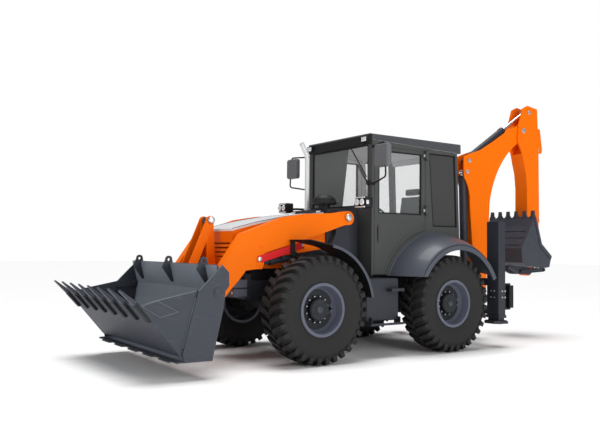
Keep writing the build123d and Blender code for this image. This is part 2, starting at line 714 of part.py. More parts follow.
def rear_fenders():
    """Pair of moulded fenders over the rear wheels: bulging top, creased outer band and lip."""
    y0 = CAB_HALF + SEAT_GAP
    y1 = FENDER_OUTER_Y
    t = FENDER_WALL
    top = FENDER_TOP_RADIUS
    flange = top + FENDER_FLANGE
    crease = top - FENDER_CREASE_DROP
    lip = top - FENDER_LIP_DROP
    mid_y = y0 + (y1 - y0) * 0.53
    mid_drop = FENDER_CREASE_DROP * 0.28
    points = [
        (flange, y0), (flange, y0 + 12), (top, y0 + 24), (crease + 26, y1 - 24), (crease + 4, y1),
        (lip, y1), (lip, y1 - t), (crease, y1 - t), (crease + 10, y1 - t - 18), (top - t, y0 + 20),
        (flange - 27, y0 + 12), (flange - 27, y0),
    ]
    bulges = {2: (top - mid_drop, mid_y), 8: (top - mid_drop - t, mid_y - 8)}
    edges = []
    for i, start in enumerate(points):
        end = points[(i + 1) % len(points)]
        a = (start[0], start[1], 0)
        b = (end[0], end[1], 0)
        if i in bulges:
            edges.append(ThreePointArc(a, (bulges[i][0], bulges[i][1], 0), b))
        else:
            edges.append(Line(a, b))
    arch = revolve(make_face(Wire(edges)), axis=Axis.Y, revolution_arc=140)
    arch = Pos(WELL_X, 0, AXLE_Z) * Rot(0, -155, 0) * arch
    arch = arch - box((WELL_X, 0, 0), (WELL_X + flange + 10, y1 + 10, CAB_BOTTOM - 12))
    return both_sides(arch)


def front_guards():
    """Pair of mudguards over the front wheels with their stays."""
    centre = (0, AXLE_Z)
    top = GUARD_RADIUS + GUARD_WALL
    outer = [polar(centre, top, angle) for angle in (171, 135, 100)]
    inner = [polar(centre, GUARD_RADIUS, angle) for angle in (171, 135, 100)]
    tip = (190, AXLE_Z + top + 46)
    skin = outline(
        outer[0], (outer[1][0], outer[1][1], outer[2][0], outer[2][1]), tip, (tip[0], tip[1] - GUARD_WALL),
        inner[2], (inner[1][0], inner[1][1], inner[0][0], inner[0][1]),
    )
    guard = slab(skin, GUARD_INNER_Y, GUARD_OUTER_Y)
    low = [polar(centre, GUARD_RADIUS - 22, angle) for angle in (171, 135, 100)]
    lip = outline(
        outer[0], (outer[1][0], outer[1][1], outer[2][0], outer[2][1]),
        low[2], (low[1][0], low[1][1], low[0][0], low[0][1]),
    )
    guard = guard + slab(lip, GUARD_OUTER_Y - 6, GUARD_OUTER_Y)
    rail = RAIL_Y + RAIL_WALL / 2 + SEAT_GAP
    under = tip[1] - GUARD_WALL
    side = outline(
        (-35, 1080), (35, 1080), (35, 1230), (175, 1335), (175, under), (110, under), (110, 1375), (-35, 1265),
    )
    stay = slab(side, GUARD_INNER_Y, GUARD_INNER_Y + 12)
    arm = box((-35, rail, 1080), (35, GUARD_INNER_Y + 5, 1100))
    foot = box((-35, rail, 960), (35, rail + 14, 1100))
    return both_sides(guard + stay + arm + foot)


def side_tanks():
    """Fuel tank on the left, hydraulic tank on the right, each with its steps."""
    tank = box((-1390, 560, 470), (-830, 940, 1020))
    tank = fillet(tank.edges().filter_by(Axis.Y), 30)
    tank = chamfer(tank.faces().sort_by(Axis.Y)[-1].edges(), 12)
    step = box((-1400, 915, 420), (-830, 1040, 432)) + box((-1400, 1032, 420), (-830, 1040, 450))
    for x in (-1370, -890):
        step = step + box((x, 880, 425), (x + 10, 1000, 520))
    tread = box((-1400, 935, 856), (-1180, 1040, 866)) + box((-1400, 1032, 856), (-1180, 1040, 892))
    for x in (-1400, -1190):
        tread = tread + box((x, 920, 850), (x + 10, 1036, 892))
    return both_sides(tank + step + tread)


def lamps():
    """Twin headlamps on stalks, roof lamps in the fascia and C-shaped rear lamp guards."""
    head = box((-870, 812, 1935), (-745, 1012, 2085))
    head = fillet(head.edges().filter_by(Axis.X), 30)
    for y in (862, 962):
        head = head + rod_along(Plane(origin=(-750, y, 2010), z_dir=(1, 0, 0)), 42, 22)
    stalk = box((CAB_FRONT + SEAT_GAP, 680, 1975), (-830, 712, 2005))
    stalk = stalk + box((-860, 680, 1975), (-830, 830, 2005))
    front = CAB_FRONT + FASCIA_WALL + SEAT_GAP
    roof = box((front, 572, 2852), (front + 36, 692, 2932))
    rear = FRAME_REAR - SEAT_GAP
    guard = box((rear - 230, 1040, 530), (rear, 1052, 920))
    guard = guard - box((rear - 130, 1030, 620), (rear - 20, 1060, 830))
    lens = box((rear - 226, 1052, 560), (rear - 140, 1110, 890))
    return both_sides(head + stalk) + both_sides(roof) + both_sides(guard + lens)


def mirrors():
    """Pair of mirrors, each on a tube loop from the front cab pillar."""
    root = CAB_HALF + SEAT_GAP
    corners = [(-1125, root, 2792), (-1010, 1075, 2806), (-1005, 1105, 2350), (-1125, root, 2285)]
    path = FilletPolyline(*corners, radius=45)
    loop = sweep(path.location_at(0) * Circle(11), path=path)
    loop = loop - box((-1200, CAB_HALF - 60, 2200), (-1050, root, 2900))
    pads = box((-1150, root, 2772), (-1102, root + 8, 2812))
    pads = pads + box((-1150, root, 2265), (-1102, root + 8, 2305))
    housing = box((-1045, 900, 2480), (-975, 1165, 2780))
    housing = fillet(housing.edges().filter_by(Axis.X), 35)
    housing = chamfer(housing.faces().sort_by(Axis.X)[-1].edges(), 15)
    return both_sides(loop + pads + housing)


def loader_arm():
    """Two box arms joined by two cross tubes, with pockets where the lift rods enter."""
    shape = outline(
        (-790, 1725), (-851, 1817, -760, 1905), (-522, 1870), (-75, 1845), (267, 1789), (856, 1576),
        (1120, 1208), (1412, 655), (1345 + 45, 566, 1285, 583), (993, 924), (884, 1035), (800, 1136),
        (661, 1150), (575, 1150), (548, 1212), (565, 1313), (525, 1351), (155, 1455), (-300, 1590),
        (-700, 1718),
    )
    pocket = outline(
        (-560, 1700), (-500, 1855), (-75, 1830), (262, 1774), (835, 1565), (1000, 1330),
        (860, 1165), (720, 1080), (480, 1100), (520, 1330), (155, 1430), (-300, 1570),
    )
    arm = slab(shape, ARM_INNER_Y, ARM_OUTER_Y)
    arm = arm - slab(pocket, ARM_INNER_Y + ARM_PLATE, ARM_OUTER_Y - ARM_PLATE)
    bosses = ((ARM_PIVOT, 62), ((586, 1434), 34), ((613, 1212), 46), ((1345, 620), 58))
    for place, radius in bosses:
        arm = arm + round_y(place, radius, ARM_OUTER_Y - 5, ARM_OUTER_Y + ARM_BOSS_HEIGHT)
    for place in (ARM_PIVOT, ARM_TIP):
        arm = arm - round_y(place, ARM_PIN_RADIUS + PIN_FIT, ARM_INNER_Y - 5, ARM_OUTER_Y + 10)
    reach = ARM_INNER_Y + 5
    lever_tube = round_y(LEVER_PIVOT, 62, -reach, reach)
    gap = LINK_INNER_Y
    neck = round_y(LEVER_PIVOT, 80, -gap, gap) - round_y(LEVER_PIVOT, 38, -gap - 1, gap + 1)
    lever_tube = lever_tube - neck
    ram_tube = round_y(TILT_BASE, 50, -reach, reach)
    ram_tube = ram_tube - (round_y(TILT_BASE, 70, -50, 50) - round_y(TILT_BASE, 28, -51, 51))
    return both_sides(arm) + lever_tube + ram_tube


def lift_cylinders():
    """Both lift cylinders: barrels with the strut's clip as one node, rods as the other."""
    barrel, rod = ram(
        LIFT_BASE, LIFT_EYE, LIFT_BARREL_RADIUS, LIFT_ROD_RADIUS, LIFT_BARREL_LENGTH, 42, 32, 24, LIFT_DRAW,
    )
    place = Pos(0, LIFT_Y, 0)
    clip = box((250, LIFT_Y + 30, 1275), (290, ARM_OUTER_Y + 6 - SEAT_GAP, 1362))
    return both_sides(place * barrel) + clip, both_sides(place * rod)


def safety_strut():
    """Red locking strut stored along the outside of the left lift cylinder."""
    return plank((640, 1262), (-30, 1449), 44, ARM_OUTER_Y + 6, ARM_OUTER_Y + 12)


def tilt_lever():
    """Pair of lever plates from the arm's cross tube up to the apex pin."""
    x, z = LEVER_PIVOT
    top_x, top_z = TILT_APEX
    face = outline(
        (x - 62, z), (top_x - 50, top_z), (top_x, top_z + 50, top_x + 50, top_z), (x + 62, z),
        (x, z - 62, x - 62, z),
    )
    plate = slab(face, LEVER_INNER_Y, LEVER_INNER_Y + LEVER_PLATE)
    plate = plate - round_y(LEVER_PIVOT, 38 + PIN_FIT, 0, 200)
    pin = round_y(TILT_APEX, 28, LEVER_INNER_Y, LINK_INNER_Y + LINK_PLATE + 16)
    tie = box((940, -LEVER_INNER_Y - 5, 1180), (965, LEVER_INNER_Y + 5, 1300))
    return both_sides(plate + pin) + tie


def tilt_link():
    """Pair of link plates from the apex down to the bucket's upper pin."""
    plate = strap(TILT_APEX, BUCKET_TILT_PIN, 55, LINK_INNER_Y, LINK_INNER_Y + LINK_PLATE)
    plate = plate - round_y(TILT_APEX, 28 + PIN_FIT, 0, 200)
    tie = round_y(BUCKET_TILT_PIN, 26, -LINK_INNER_Y - 5, LINK_INNER_Y + 5)
    return both_sides(plate) + tie


def bucket():
    """Back half of the loader bucket: back plate, sides, lip with wear pads, eyes and arm ears."""
    side = outline(
        (1429, 1219), (1344, 1137), (1341, 990), (1386, 936), (1407, 749), (1527, 238), (1532, 198),
        (1861, 198), (1883, 291), (1708, 945),
    )
    side_plate = slab(side, BUCKET_HALF - BUCKET_WALL, BUCKET_HALF)
    back = outline(
        (1500, 1215), (1430, 936), (1450, 749), (1545, 240), (1555, 215), (1925, 215), (1945, 206), (1945, 198),
        (1532, 198), (1527, 238), (1430, 749), (1408, 936), (1480, 1221),
    )
    shell = slab(back, -BUCKET_HALF + 5, BUCKET_HALF - 5)
    pads = Part()
    for n in range(5):
        y = (n - 2) * 450
        pads = pads + box((1800, y - 130, 186), (1965, y + 130, 200))
    clam_pin = round_y(CLAM_PIVOT, 30, BUCKET_HALF - 2 * BUCKET_WALL - 20, BUCKET_HALF - 5)
    boss = round_y(CLAM_PIVOT, 52, BUCKET_HALF - 5, BUCKET_HALF + 8)
    boss = boss + round_y(CLAM_PIVOT, 22, BUCKET_HALF, BUCKET_HALF + 16)
    ear = outline(
        (1432, 1000), (1395, 990), (1265, 640), (1345, 540, 1440, 600), (1462, 640), (1447, 700), (1418, 936),
    )
    top = outline((1445, 1040), (1395, 1000), (1300, 960), (1300, 900), (1380, 860), (1434, 800), (1418, 936))
    ears = slab(ear, ARM_OUTER_Y + SIDE_GAP, ARM_OUTER_Y + SIDE_GAP + 20)
    ears = ears + slab(ear, ARM_INNER_Y - SIDE_GAP - 20, ARM_INNER_Y - SIDE_GAP)
    ears = ears + round_y(ARM_TIP, ARM_PIN_RADIUS, ARM_INNER_Y - 30, ARM_OUTER_Y + 30)
    ears = ears + slab(top, LINK_INNER_Y + LINK_PLATE + 10, LINK_INNER_Y + LINK_PLATE + 30)
    x, z = LIFTING_EYE
    eye = outline(
        (1440, 1000), (1470, 985), (x + 84, z - 90), (x + 42, z), (x, z + 46, x - 44, z), (1455, 1180),
    )
    lug = slab(eye, -12, 12) - round_y(LIFTING_EYE, LIFTING_EYE_RADIUS, -20, 20)
    result = both_sides(side_plate + clam_pin + boss + ears) + shell + pads
    for y in (-LIFTING_EYE_Y, 0, LIFTING_EYE_Y):
        result = result + Pos(0, y, 0) * lug
    return result


def clam():
    """Front half of the loader bucket: floor, sides with kite-shaped plates, adapters and teeth."""
    inner = BUCKET_HALF - BUCKET_WALL - SIDE_GAP
    side = outline((1716, 945), (1891, 291), (2351, 810), (2150, 860))
    x, z = CLAM_PIVOT
    arm = outline((x, z + 45), (x - 45, z, x, z - 45), (1700, 860), (1760, 900), (1716, 950))
    kite = outline((2338, 803), (2169, 855), (1931, 732), (2138, 683))
    panel = slab(side, inner - BUCKET_WALL, inner) + slab(arm, inner - BUCKET_WALL, inner)
    panel = panel + slab(kite, inner - 5, inner + 10)
    floor = outline((1870, 262), (1895, 262), (2365, 812), (2340, 812), (1866, 286))
    body = slab(floor, -inner, inner) + both_sides(panel)
    body = body - round_y(CLAM_PIVOT, 30 + PIN_FIT, -BUCKET_HALF, BUCKET_HALF)
    tooth = outline((2290, 740), (2320, 722), (2552, 955), (2552, 972), (2350, 830))
    adapter = outline((2212, 648), (2246, 628), (2402, 800), (2372, 838), (2340, 812))
    for n in range(TOOTH_COUNT):
        y = -inner + 50 + (2 * inner - 100) * n / (TOOTH_COUNT - 1)
        body = body + slab(tooth, y - TOOTH_WIDTH / 2, y + TOOTH_WIDTH / 2)
        body = body + slab(adapter, y - TOOTH_WIDTH / 2 - 10, y + TOOTH_WIDTH / 2 + 10)
    return body


def side_frame():
    """Rear frame: two slide beams between the stabiliser housings."""
    beams = Part()
    for low, high in (BEAM_LOW, BEAM_HIGH):
        beams = beams + box((FRAME_REAR, -POST_INNER_Y - 10, low), (FRAME_FRONT, POST_INNER_Y + 10, high))
    post = box((FRAME_REAR, POST_INNER_Y, POST_LOW), (FRAME_FRONT, POST_OUTER_Y, POST_TOP))
    post = chamfer(post.edges().filter_by(Axis.Z), 6)
    bore = box(
        (FRAME_REAR + POST_WALL, POST_INNER_Y + POST_WALL, POST_LOW - 5),
        (FRAME_FRONT - POST_WALL, POST_OUTER_Y - POST_WALL, POST_TOP - POST_WALL),
    )
    low = (FRAME_REAR - 8, POST_INNER_Y - 8, POST_LOW)
    collar = box(low, (FRAME_FRONT + 8, POST_OUTER_Y + 8, POST_LOW + 40))
    return beams + both_sides(post + collar - bore)


def stabiliser_leg():
    """Left inner leg with its eight-sided foot."""
    gap = LEG_GAP + POST_WALL
    leg = box(
        (FRAME_REAR + gap, POST_INNER_Y + gap, FOOT_LOW + FOOT_HEIGHT - 5),
        (FRAME_FRONT - gap, POST_OUTER_Y - gap, POST_TOP - 120),
    )
    middle_x = (FRAME_REAR + FRAME_FRONT) / 2
    middle_y = (POST_INNER_Y + POST_OUTER_Y) / 2
    foot = Box(2 * FOOT_HALF, 2 * FOOT_HALF, FOOT_HEIGHT)
    foot = Pos(middle_x, middle_y, FOOT_LOW + FOOT_HEIGHT / 2) * foot
    foot = chamfer(foot.edges().filter_by(Axis.Z), FOOT_HALF * 0.45)
    foot = chamfer(foot.faces().sort_by(Axis.Z)[-1].edges(), 12)
    return leg + foot


def carriage():
    """Side-shift carriage: plate behind the beams, hooks around them and the kingpost lugs."""
    rear = FRAME_REAR - LEG_GAP
    left = HOE_Y - CARRIAGE_HALF
    right = HOE_Y + CARRIAGE_HALF
    front = FRAME_FRONT + 30
    plate = box((rear - CARRIAGE_WALL, left, BEAM_LOW[0] - 40), (rear, right, BEAM_HIGH[1] + 40))
    hooks = box((FRAME_REAR - 5, left, BEAM_HIGH[1] + LEG_GAP), (front, right, BEAM_HIGH[1] + 40))
    hooks = hooks + box((FRAME_FRONT + LEG_GAP, left, BEAM_HIGH[1] - 40), (front, right, BEAM_HIGH[1] + 20))
    hooks = hooks + box((FRAME_REAR - 5, left, BEAM_LOW[0] - 40), (front, right, BEAM_LOW[0] - LEG_GAP))
    lugs = Part()
    for z in (KINGPOST_LOW, KINGPOST_HIGH - KINGPOST_LUG):
        lugs = lugs + box((KINGPOST_X, HOE_Y - 85, z), (rear - 5, HOE_Y + 85, z + KINGPOST_LUG))
        lugs = lugs + round_z(KINGPOST_X, HOE_Y, 85, z, z + KINGPOST_LUG)
    lugs = lugs - round_z(KINGPOST_X, HOE_Y, KINGPOST_PIN + PIN_FIT, KINGPOST_LOW - 10, KINGPOST_HIGH + 10)
    return plate + hooks + lugs


def kingpost():
    """Swinging post: pin, side plates that hold the boom foot, and ears for the boom cylinder."""
    z0 = KINGPOST_LOW + KINGPOST_LUG + SIDE_GAP
    z1 = KINGPOST_HIGH - KINGPOST_LUG - SIDE_GAP
    z2 = KINGPOST_HIGH + SIDE_GAP
    x, z = BOOM_FOOT
    post = round_z(0, 0, KINGPOST_PIN, KINGPOST_LOW - 8, KINGPOST_HIGH + 8) + round_z(0, 0, 70, z0, z1)
    inner = BOOM_HALF + SIDE_GAP
    cheek = outline((60, z0), (60, z1), (x, z + 85), (x - 85, z, x, z - 85), (-40, z0))
    post = post + both_sides(slab(cheek, inner, inner + 28))
    post = post + box((-30, -inner - 5, z0), (60, inner + 5, z1))
    post = post + round_y(BOOM_FOOT, 36, -inner - 34, inner + 34)
    post = post + box((-40, -92, z2), (90, 92, z2 + 14))
    x, z = BOOM_RAM_FOOT
    ear = outline((-30, z2), (165, z2), (x + 48, z), (x, z + 48, x - 48, z))
    near = BOOM_RAM_RADIUS + SIDE_GAP
    post = post + both_sides(slab(ear, near, near + 24))
    return post + round_y(BOOM_RAM_FOOT, BOOM_RAM_PIN, -near - 30, near + 30)


def boom():
    """Curved boom box, open at the elbow and along the top for its two cylinders."""
    x, z = BOOM_FOOT
    shape = outline(
        (x + 80, z + 10), (x + 82, 860), (47, 1519), (100, 2152), (145, 2420, 225, 2554), (238, 2657),
        (238, 2881), (67, 2945), (-158, 3018), (-474, 3190), (-748, 3352), (-809, 3418), (-1100, 3500),
        (-1280, 3470, -1230, 3345), (-1069, 3208), (-590, 2740, -367, 2173), (-315, 1331), (x - 80, z + 20),
        (x, z - 80, x + 80, z),
    )
    body = slab(shape, -BOOM_HALF, BOOM_HALF)
    gap = BOOM_HALF - BOOM_PLATE
    recess = outline((300, 1650), (50, 1650), (60, 2300), (40, 2740), (40, 3100), (300, 3100))
    body = body - slab(recess, -gap, gap)
    start = toward(DIPPER_RAM_BASE, DIPPER_TAIL, -90)
    end = toward(DIPPER_RAM_BASE, DIPPER_TAIL, 1330)
    low = DIPPER_RAM_RADIUS + 14
    channel = plank(start, end, low, -gap, gap)
    span = math.dist(start, end)
    up = ((end[1] - start[1]) / span * 150, (start[0] - end[0]) / span * 150)
    channel = channel + Pos(up[0], 0, up[1]) * plank(start, end, 160, -gap, gap)
    body = body - channel
    body = body - round_y(BOOM_FOOT, 36 + PIN_FIT, -120, 120)
    body = body - round_y(DIPPER_PIVOT, 40 + PIN_FIT, -120, 120)
    body = body + round_y(DIPPER_RAM_BASE, DIPPER_RAM_PIN, -BOOM_HALF - 8, BOOM_HALF + 8)
    return body + both_sides(round_y(BOOM_ELBOW, 30, BOOM_HALF - 4, BOOM_HALF + 8))


def dipper():
    """Dipper arm: box with a fork head, a rear channel for its cylinder and a narrow nose."""
    inner = DIPPER_INNER
    outer = inner + DIPPER_PLATE
    head = outline(
        (-1172, 3808), (-1299, 3868), (-1556, 3836), (-1572, 3515), (-1592, 3072), (-1160, 3040),
        (-1044, 3244), (-1066, 3505),
    )
    beam = outline(
        (-1360, 3150), (-1590, 3150), (-1600, 2000), (-1540, 1430), (-1435, 1020), (-1355, 983, -1275, 1050),
        (-1281, 2463), (-1253, 2711), (-1196, 2893), (-1160, 3040),
    )
    body = slab(beam, -outer, outer)
    body = body - slab(outline((-1650, 3200), (-1560, 3200), (-1560, 1300), (-1650, 1300)), -80, 80)
    body = body - both_sides(box((-1800, NOSE_HALF, 900), (-1100, outer + 5, 1490)))
    body = body + both_sides(slab(head, inner, outer))
    body = body + box((-1568, -inner - 5, 3140), (-1540, inner + 5, 3700))
    bracket = outline((-1560, 3515), (-1560, 3080), (-1740, 3095), (-1755, 3165), (-1698, 3512))
    near = HOE_RAM_RADIUS + SIDE_GAP
    body = body + both_sides(slab(bracket, near, near + 20))
    body = body + round_y(DIPPER_PIVOT, 40, -outer - 6, outer + 6)
    body = body + both_sides(round_y(DIPPER_TAIL, 32, inner - 2, outer + 6))
    body = body + round_y(HOE_RAM_BASE, TIPPER_PIN, -near - 24, near + 24)
    body = body + round_y(TIPPER_PIVOT, TIPPER_PIN, -NOSE_HALF - 34, NOSE_HALF + 34)
    return body - round_y(DIPPER_NOSE, 34 + PIN_FIT, -200, 200)


def hoe_bucket():
    """Digging bucket, curled: shell with wear strips, cheeks with cutters, ears and teeth."""
    half = HOE_BUCKET_HALF
    side = outline(
        (-1020, 1960), (-947, 1810), (-706, 1445), (-727, 1212), (-812, 1164), (-1320, 1125), (-1421, 1141),
        (-1470, 1316), (-1210, 1520), (-1060, 1960),
    )
    cutter = outline((-1024, 1955), (-1062, 1962), (-1212, 1520), (-1470, 1318), (-1446, 1262), (-1166, 1478))
    cheek = slab(side, half - HOE_BUCKET_WALL, half) + slab(cutter, half - 5, half + 12)
    shell = outline(
        (-1020, 1960), (-947, 1810), (-706, 1445), (-727, 1212), (-812, 1164), (-1190, 1135),
        (-1190, 1155), (-820, 1184), (-747, 1224), (-728, 1440), (-967, 1808), (-1050, 1960),
    )
    body = slab(shell, -half, half) + both_sides(cheek)
    for distance in (60, 190, 330):
        low = toward((-947, 1810), (-706, 1445), distance)
        high = toward((-947, 1810), (-706, 1445), distance + 45)
        body = body + plank(low, high, 9, -half + 40, half - 40)
    a = DIPPER_NOSE
    b = HOE_PIN_B
    ear = outline(
        (-830, 1170), (-1190, 1150), (a[0] - 45, a[1] + 45), (a[0] - 64, a[1], a[0] - 20, a[1] - 60),
        (b[0], b[1] - 45), (b[0] + 60, b[1] - 30), (-830, 1120),
    )
    inner = NOSE_HALF + SIDE_GAP
    body = body + both_sides(slab(ear, inner, inner + 24)) + round_y(a, 34, -inner - 26, inner + 26)
    adapter = outline((-1078, 1855), (-1000, 1845), (-1010, 1975), (-1070, 1985))
    tooth = outline((-1064, 1970), (-1018, 1970), (-1034, 2064), (-1050, 2064))
    width = HOE_TOOTH_WIDTH
    for n in range(HOE_TEETH):
        y = -half + width / 2 + 8 + (2 * half - width - 16) * n / (HOE_TEETH - 1)
        body = body + slab(adapter, y - width / 2 - 8, y + width / 2 + 8)
        body = body + slab(tooth, y - width / 2, y + width / 2)
    return body


def tipping_lever():
    """Pair of idler links on the dipper's nose with the pins that carry the link."""
    low = NOSE_HALF + SIDE_GAP
    plate = strap(TIPPER_PIVOT, TIPPER_JOINT, 36, low, low + TIPPER_PLATE)
    plate = plate - round_y(TIPPER_PIVOT, TIPPER_PIN + PIN_FIT, 0, 200)
    return both_sides(plate + round_y(TIPPER_JOINT, TIPPER_PIN, low, low + TIPPER_PLATE + SIDE_GAP + 36))


def tipping_link():
    """Pair of link plates from the idler links to the bucket's ears."""
    low = NOSE_HALF + 2 * SIDE_GAP + TIPPER_PLATE + 4
    plate = strap(TIPPER_JOINT, HOE_PIN_B, 34, low, low + 18)
    plate = plate - round_y(TIPPER_JOINT, TIPPER_PIN + PIN_FIT, 0, 200)
    return both_sides(plate + round_y(HOE_PIN_B, 24, low + 10, low + 30))


def write(name, shape):
    """Move a finished node to the part's own origin and save it."""
    export_step(Pos(-CENTRE_X, 0, 0) * shape, "parts/" + name + ".step")


def write_hoe(name, shape):
    """Move a backhoe node from the kingpost's axis to its place and save it."""
    write(name, Pos(KINGPOST_X, HOE_Y, 0) * shape)


def write_body():
    """Save the chassis, its covers and the cab."""
    write("chassis_frame", chassis_frame())
    write("front_weight", front_weight())
    write("engine", engine())
    write("loader_tower", loader_tower())
    write("cowl", cowl())
    write("hood_lid", hood_lid())
    write("exhaust", exhaust())
    write("cab_frame", cab_frame())
    write("cab_roof", cab_roof())
    write("cab_glass", cab_glass())
    write("seat", seat())
    write("console", console())
    write("rear_fenders", rear_fenders())
    write("front_guards", front_guards())
    write("side_tanks", side_tanks())
    write("lamps", lamps())
    write("mirrors", mirrors())
    leaf = door()
    pane = door_window(SEAT_GAP, CAB_HALF - 26, CAB_HALF - 26 + GLASS)
    write("door_left", leaf)
    write("door_right", mirror(leaf, about=Plane.XZ))
    write("door_glass_left", pane)
    write("door_glass_right", mirror(pane, about=Plane.XZ))


def write_wheels():
    """Save the axles, knuckles, tyres and rims."""
    beam = axle()
    left_knuckle = knuckle()
    one_tyre = tyre()
    one_rim = rim()
    write("axles", beam + Pos(REAR_AXLE_X, 0, 0) * beam)
    for end, x in (("front", 0), ("rear", REAR_AXLE_X)):
        write("knuckle_" + end + "_left", Pos(x, 0, 0) * left_knuckle)
        write("knuckle_" + end + "_right", Pos(x, 0, 0) * mirror(left_knuckle, about=Plane.XZ))
        for side, y, turn in (("left", WHEEL_Y, 0), ("right", -WHEEL_Y, 180)):
            write("tyre_" + end + "_" + side, Pos(x, y, AXLE_Z) * one_tyre)
            write("rim_" + end + "_" + side, Pos(x, y, AXLE_Z) * Rot(0, 0, turn) * one_rim)


def write_loader():
    """Save the loader arm, its cylinders and linkage, and the two halves of the bucket."""
    write("loader_arm", loader_arm())
    barrels, rods = lift_cylinders()
    write("lift_barrels", barrels)
    write("lift_rods", rods)
    write("safety_strut", safety_strut())
    write("tilt_lever", tilt_lever())
    write("tilt_link", tilt_link())
    barrel, rod = ram(
        TILT_BASE, TILT_APEX, TILT_BARREL_RADIUS, TILT_ROD_RADIUS, TILT_BARREL_LENGTH, 44, 40, 28, TILT_DRAW,
    )
    write("tilt_barrel", barrel)
    write("tilt_rod", rod)
    write("bucket", bucket())
    write("clam", clam())


def write_backhoe():
    """Save the rear frame, the stabilisers and the backhoe."""
    write("side_frame", side_frame())
    leg = stabiliser_leg()
    write("stabiliser_leg_left", leg)
    write("stabiliser_leg_right", mirror(leg, about=Plane.XZ))
    write("carriage", carriage())
    write_hoe("kingpost", kingpost())
    write_hoe("boom", boom())
    write_hoe("dipper", dipper())
    write_hoe("hoe_bucket", hoe_bucket())
    write_hoe("tipping_lever", tipping_lever())
    write_hoe("tipping_link", tipping_link())
    # name, base pin, rod's eye, barrel radius, rod radius, barrel length, eye radius, eye half, pin radius, draw
    rams = (
        ("boom", BOOM_RAM_FOOT, BOOM_ELBOW, BOOM_RAM_RADIUS, BOOM_RAM_ROD, BOOM_RAM_LENGTH, 46, 40, BOOM_RAM_PIN, 0),
        ("dipper", DIPPER_RAM_BASE, DIPPER_TAIL, DIPPER_RAM_RADIUS, DIPPER_RAM_ROD, DIPPER_RAM_LENGTH, 46, 40,
         DIPPER_RAM_PIN, DIPPER_DRAW),
        ("hoe", HOE_RAM_BASE, TIPPER_JOINT, HOE_RAM_RADIUS, HOE_RAM_ROD, HOE_RAM_LENGTH, 40, 34, TIPPER_PIN, HOE_DRAW),
    )
    for name, *sizes in rams:
        barrel, rod = ram(*sizes)
        write_hoe(name + "_barrel", barrel)
        write_hoe(name + "_rod", rod)


def main():
    """Build every node and save it under its name."""
    os.makedirs("parts", exist_ok=True)
    write_body()
    write_wheels()
    write_loader()
    write_backhoe()


main()
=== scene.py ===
import logging
import math
from dataclasses import dataclass, field
from enum import Enum
from typing import Callable, Iterable, Sequence

import bmesh
import bpy
from mathutils import Matrix, Vector


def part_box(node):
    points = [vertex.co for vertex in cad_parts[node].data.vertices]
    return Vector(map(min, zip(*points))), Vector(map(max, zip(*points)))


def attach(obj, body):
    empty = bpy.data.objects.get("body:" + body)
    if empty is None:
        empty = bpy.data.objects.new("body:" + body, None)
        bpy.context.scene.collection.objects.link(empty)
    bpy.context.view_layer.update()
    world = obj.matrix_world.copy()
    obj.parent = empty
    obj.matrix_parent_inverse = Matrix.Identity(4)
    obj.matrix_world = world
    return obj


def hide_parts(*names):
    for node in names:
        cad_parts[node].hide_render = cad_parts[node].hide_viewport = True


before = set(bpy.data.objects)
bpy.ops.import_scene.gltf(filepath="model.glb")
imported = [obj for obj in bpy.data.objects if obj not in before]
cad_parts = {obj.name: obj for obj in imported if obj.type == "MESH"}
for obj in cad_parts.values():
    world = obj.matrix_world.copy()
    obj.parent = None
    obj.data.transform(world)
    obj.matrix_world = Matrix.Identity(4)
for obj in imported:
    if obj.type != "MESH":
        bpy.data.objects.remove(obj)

LOG = logging.getLogger("backhoe_loader")
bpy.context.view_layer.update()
Point = tuple[float, float, float]
Pair = tuple[float, float]
Line = tuple[Pair, ...]
Solid = bmesh.types.BMesh


def middle_of(node: str) -> Vector:
    """Return the middle of a CAD node's box, in the row frame."""
    low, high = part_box(node)
    return (Vector(low) + Vector(high)) / 2


FRONT_WHEEL = middle_of("tyre_front_left")
AXLE_X = round(FRONT_WHEEL.x, 4)
"""Front axle's place along X in the row frame: every measured place is taken from it."""
WHEEL_Y = round(FRONT_WHEEL.y, 4)
WHEEL_RADIUS = round(FRONT_WHEEL.z, 4)
REAR_X = round(middle_of("tyre_rear_left").x - AXLE_X, 4)
AXLES = (("front", 0.0), ("rear", REAR_X))
SIDES = (("left", 1.0), ("right", -1.0))
WHEELS = tuple((f"{end}_{side}", x, sign) for end, x in AXLES for side, sign in SIDES)
"""End and side, axle's place along X and side's sign of each wheel."""


def at(x: float, y: float, z: float) -> Vector:
    """Return a place that is given from the front axle, in metres, in the row frame."""
    return Vector((x + AXLE_X, y, z))


def srgb(code: str) -> tuple[float, float, float, float]:
    """Turn an sRGB hex code into linear colour.

    Args:
        code: Six hex digits, such as "FF7A00".

    Returns:
        Linear red, green, blue and an alpha of one.
    """
    channels = [int(code[i : i + 2], 16) / 255 for i in (0, 2, 4)]
    linear = [c / 12.92 if c <= 0.04045 else ((c + 0.055) / 1.055) ** 2.4 for c in channels]
    return (linear[0], linear[1], linear[2], 1.0)


@dataclass(frozen=True)
class Finish:
    """One material: its colour, gloss and the irregularities of how it was made; a few of them
    also carry painted shade, highlight or reflection.

    Lengths are real sizes in millimetres. A length of zero leaves that pattern out.
    """

    name: str
    colour: str
    roughness: float
    metallic: float = 0.0
    coat: float = 0.0
    grain_mm: float = 6.0
    cloud_mm: float = 400.0
    variation: float = 0.06
    bump: float = 0.04
    scratch: float = 0.0
    weave_mm: float = 0.0
    alpha: float = 1.0
    specular: float = 0.28


def add_object(name: str, data: bpy.types.ID) -> bpy.types.Object:
    """Add an object to the scene.

    Args:
        name: Its name.
        data: The mesh, lamp or camera that it shows.

    Returns:
        The new object.
    """
    obj = bpy.data.objects.new(name, data)
    bpy.context.scene.collection.objects.link(obj)
    return obj


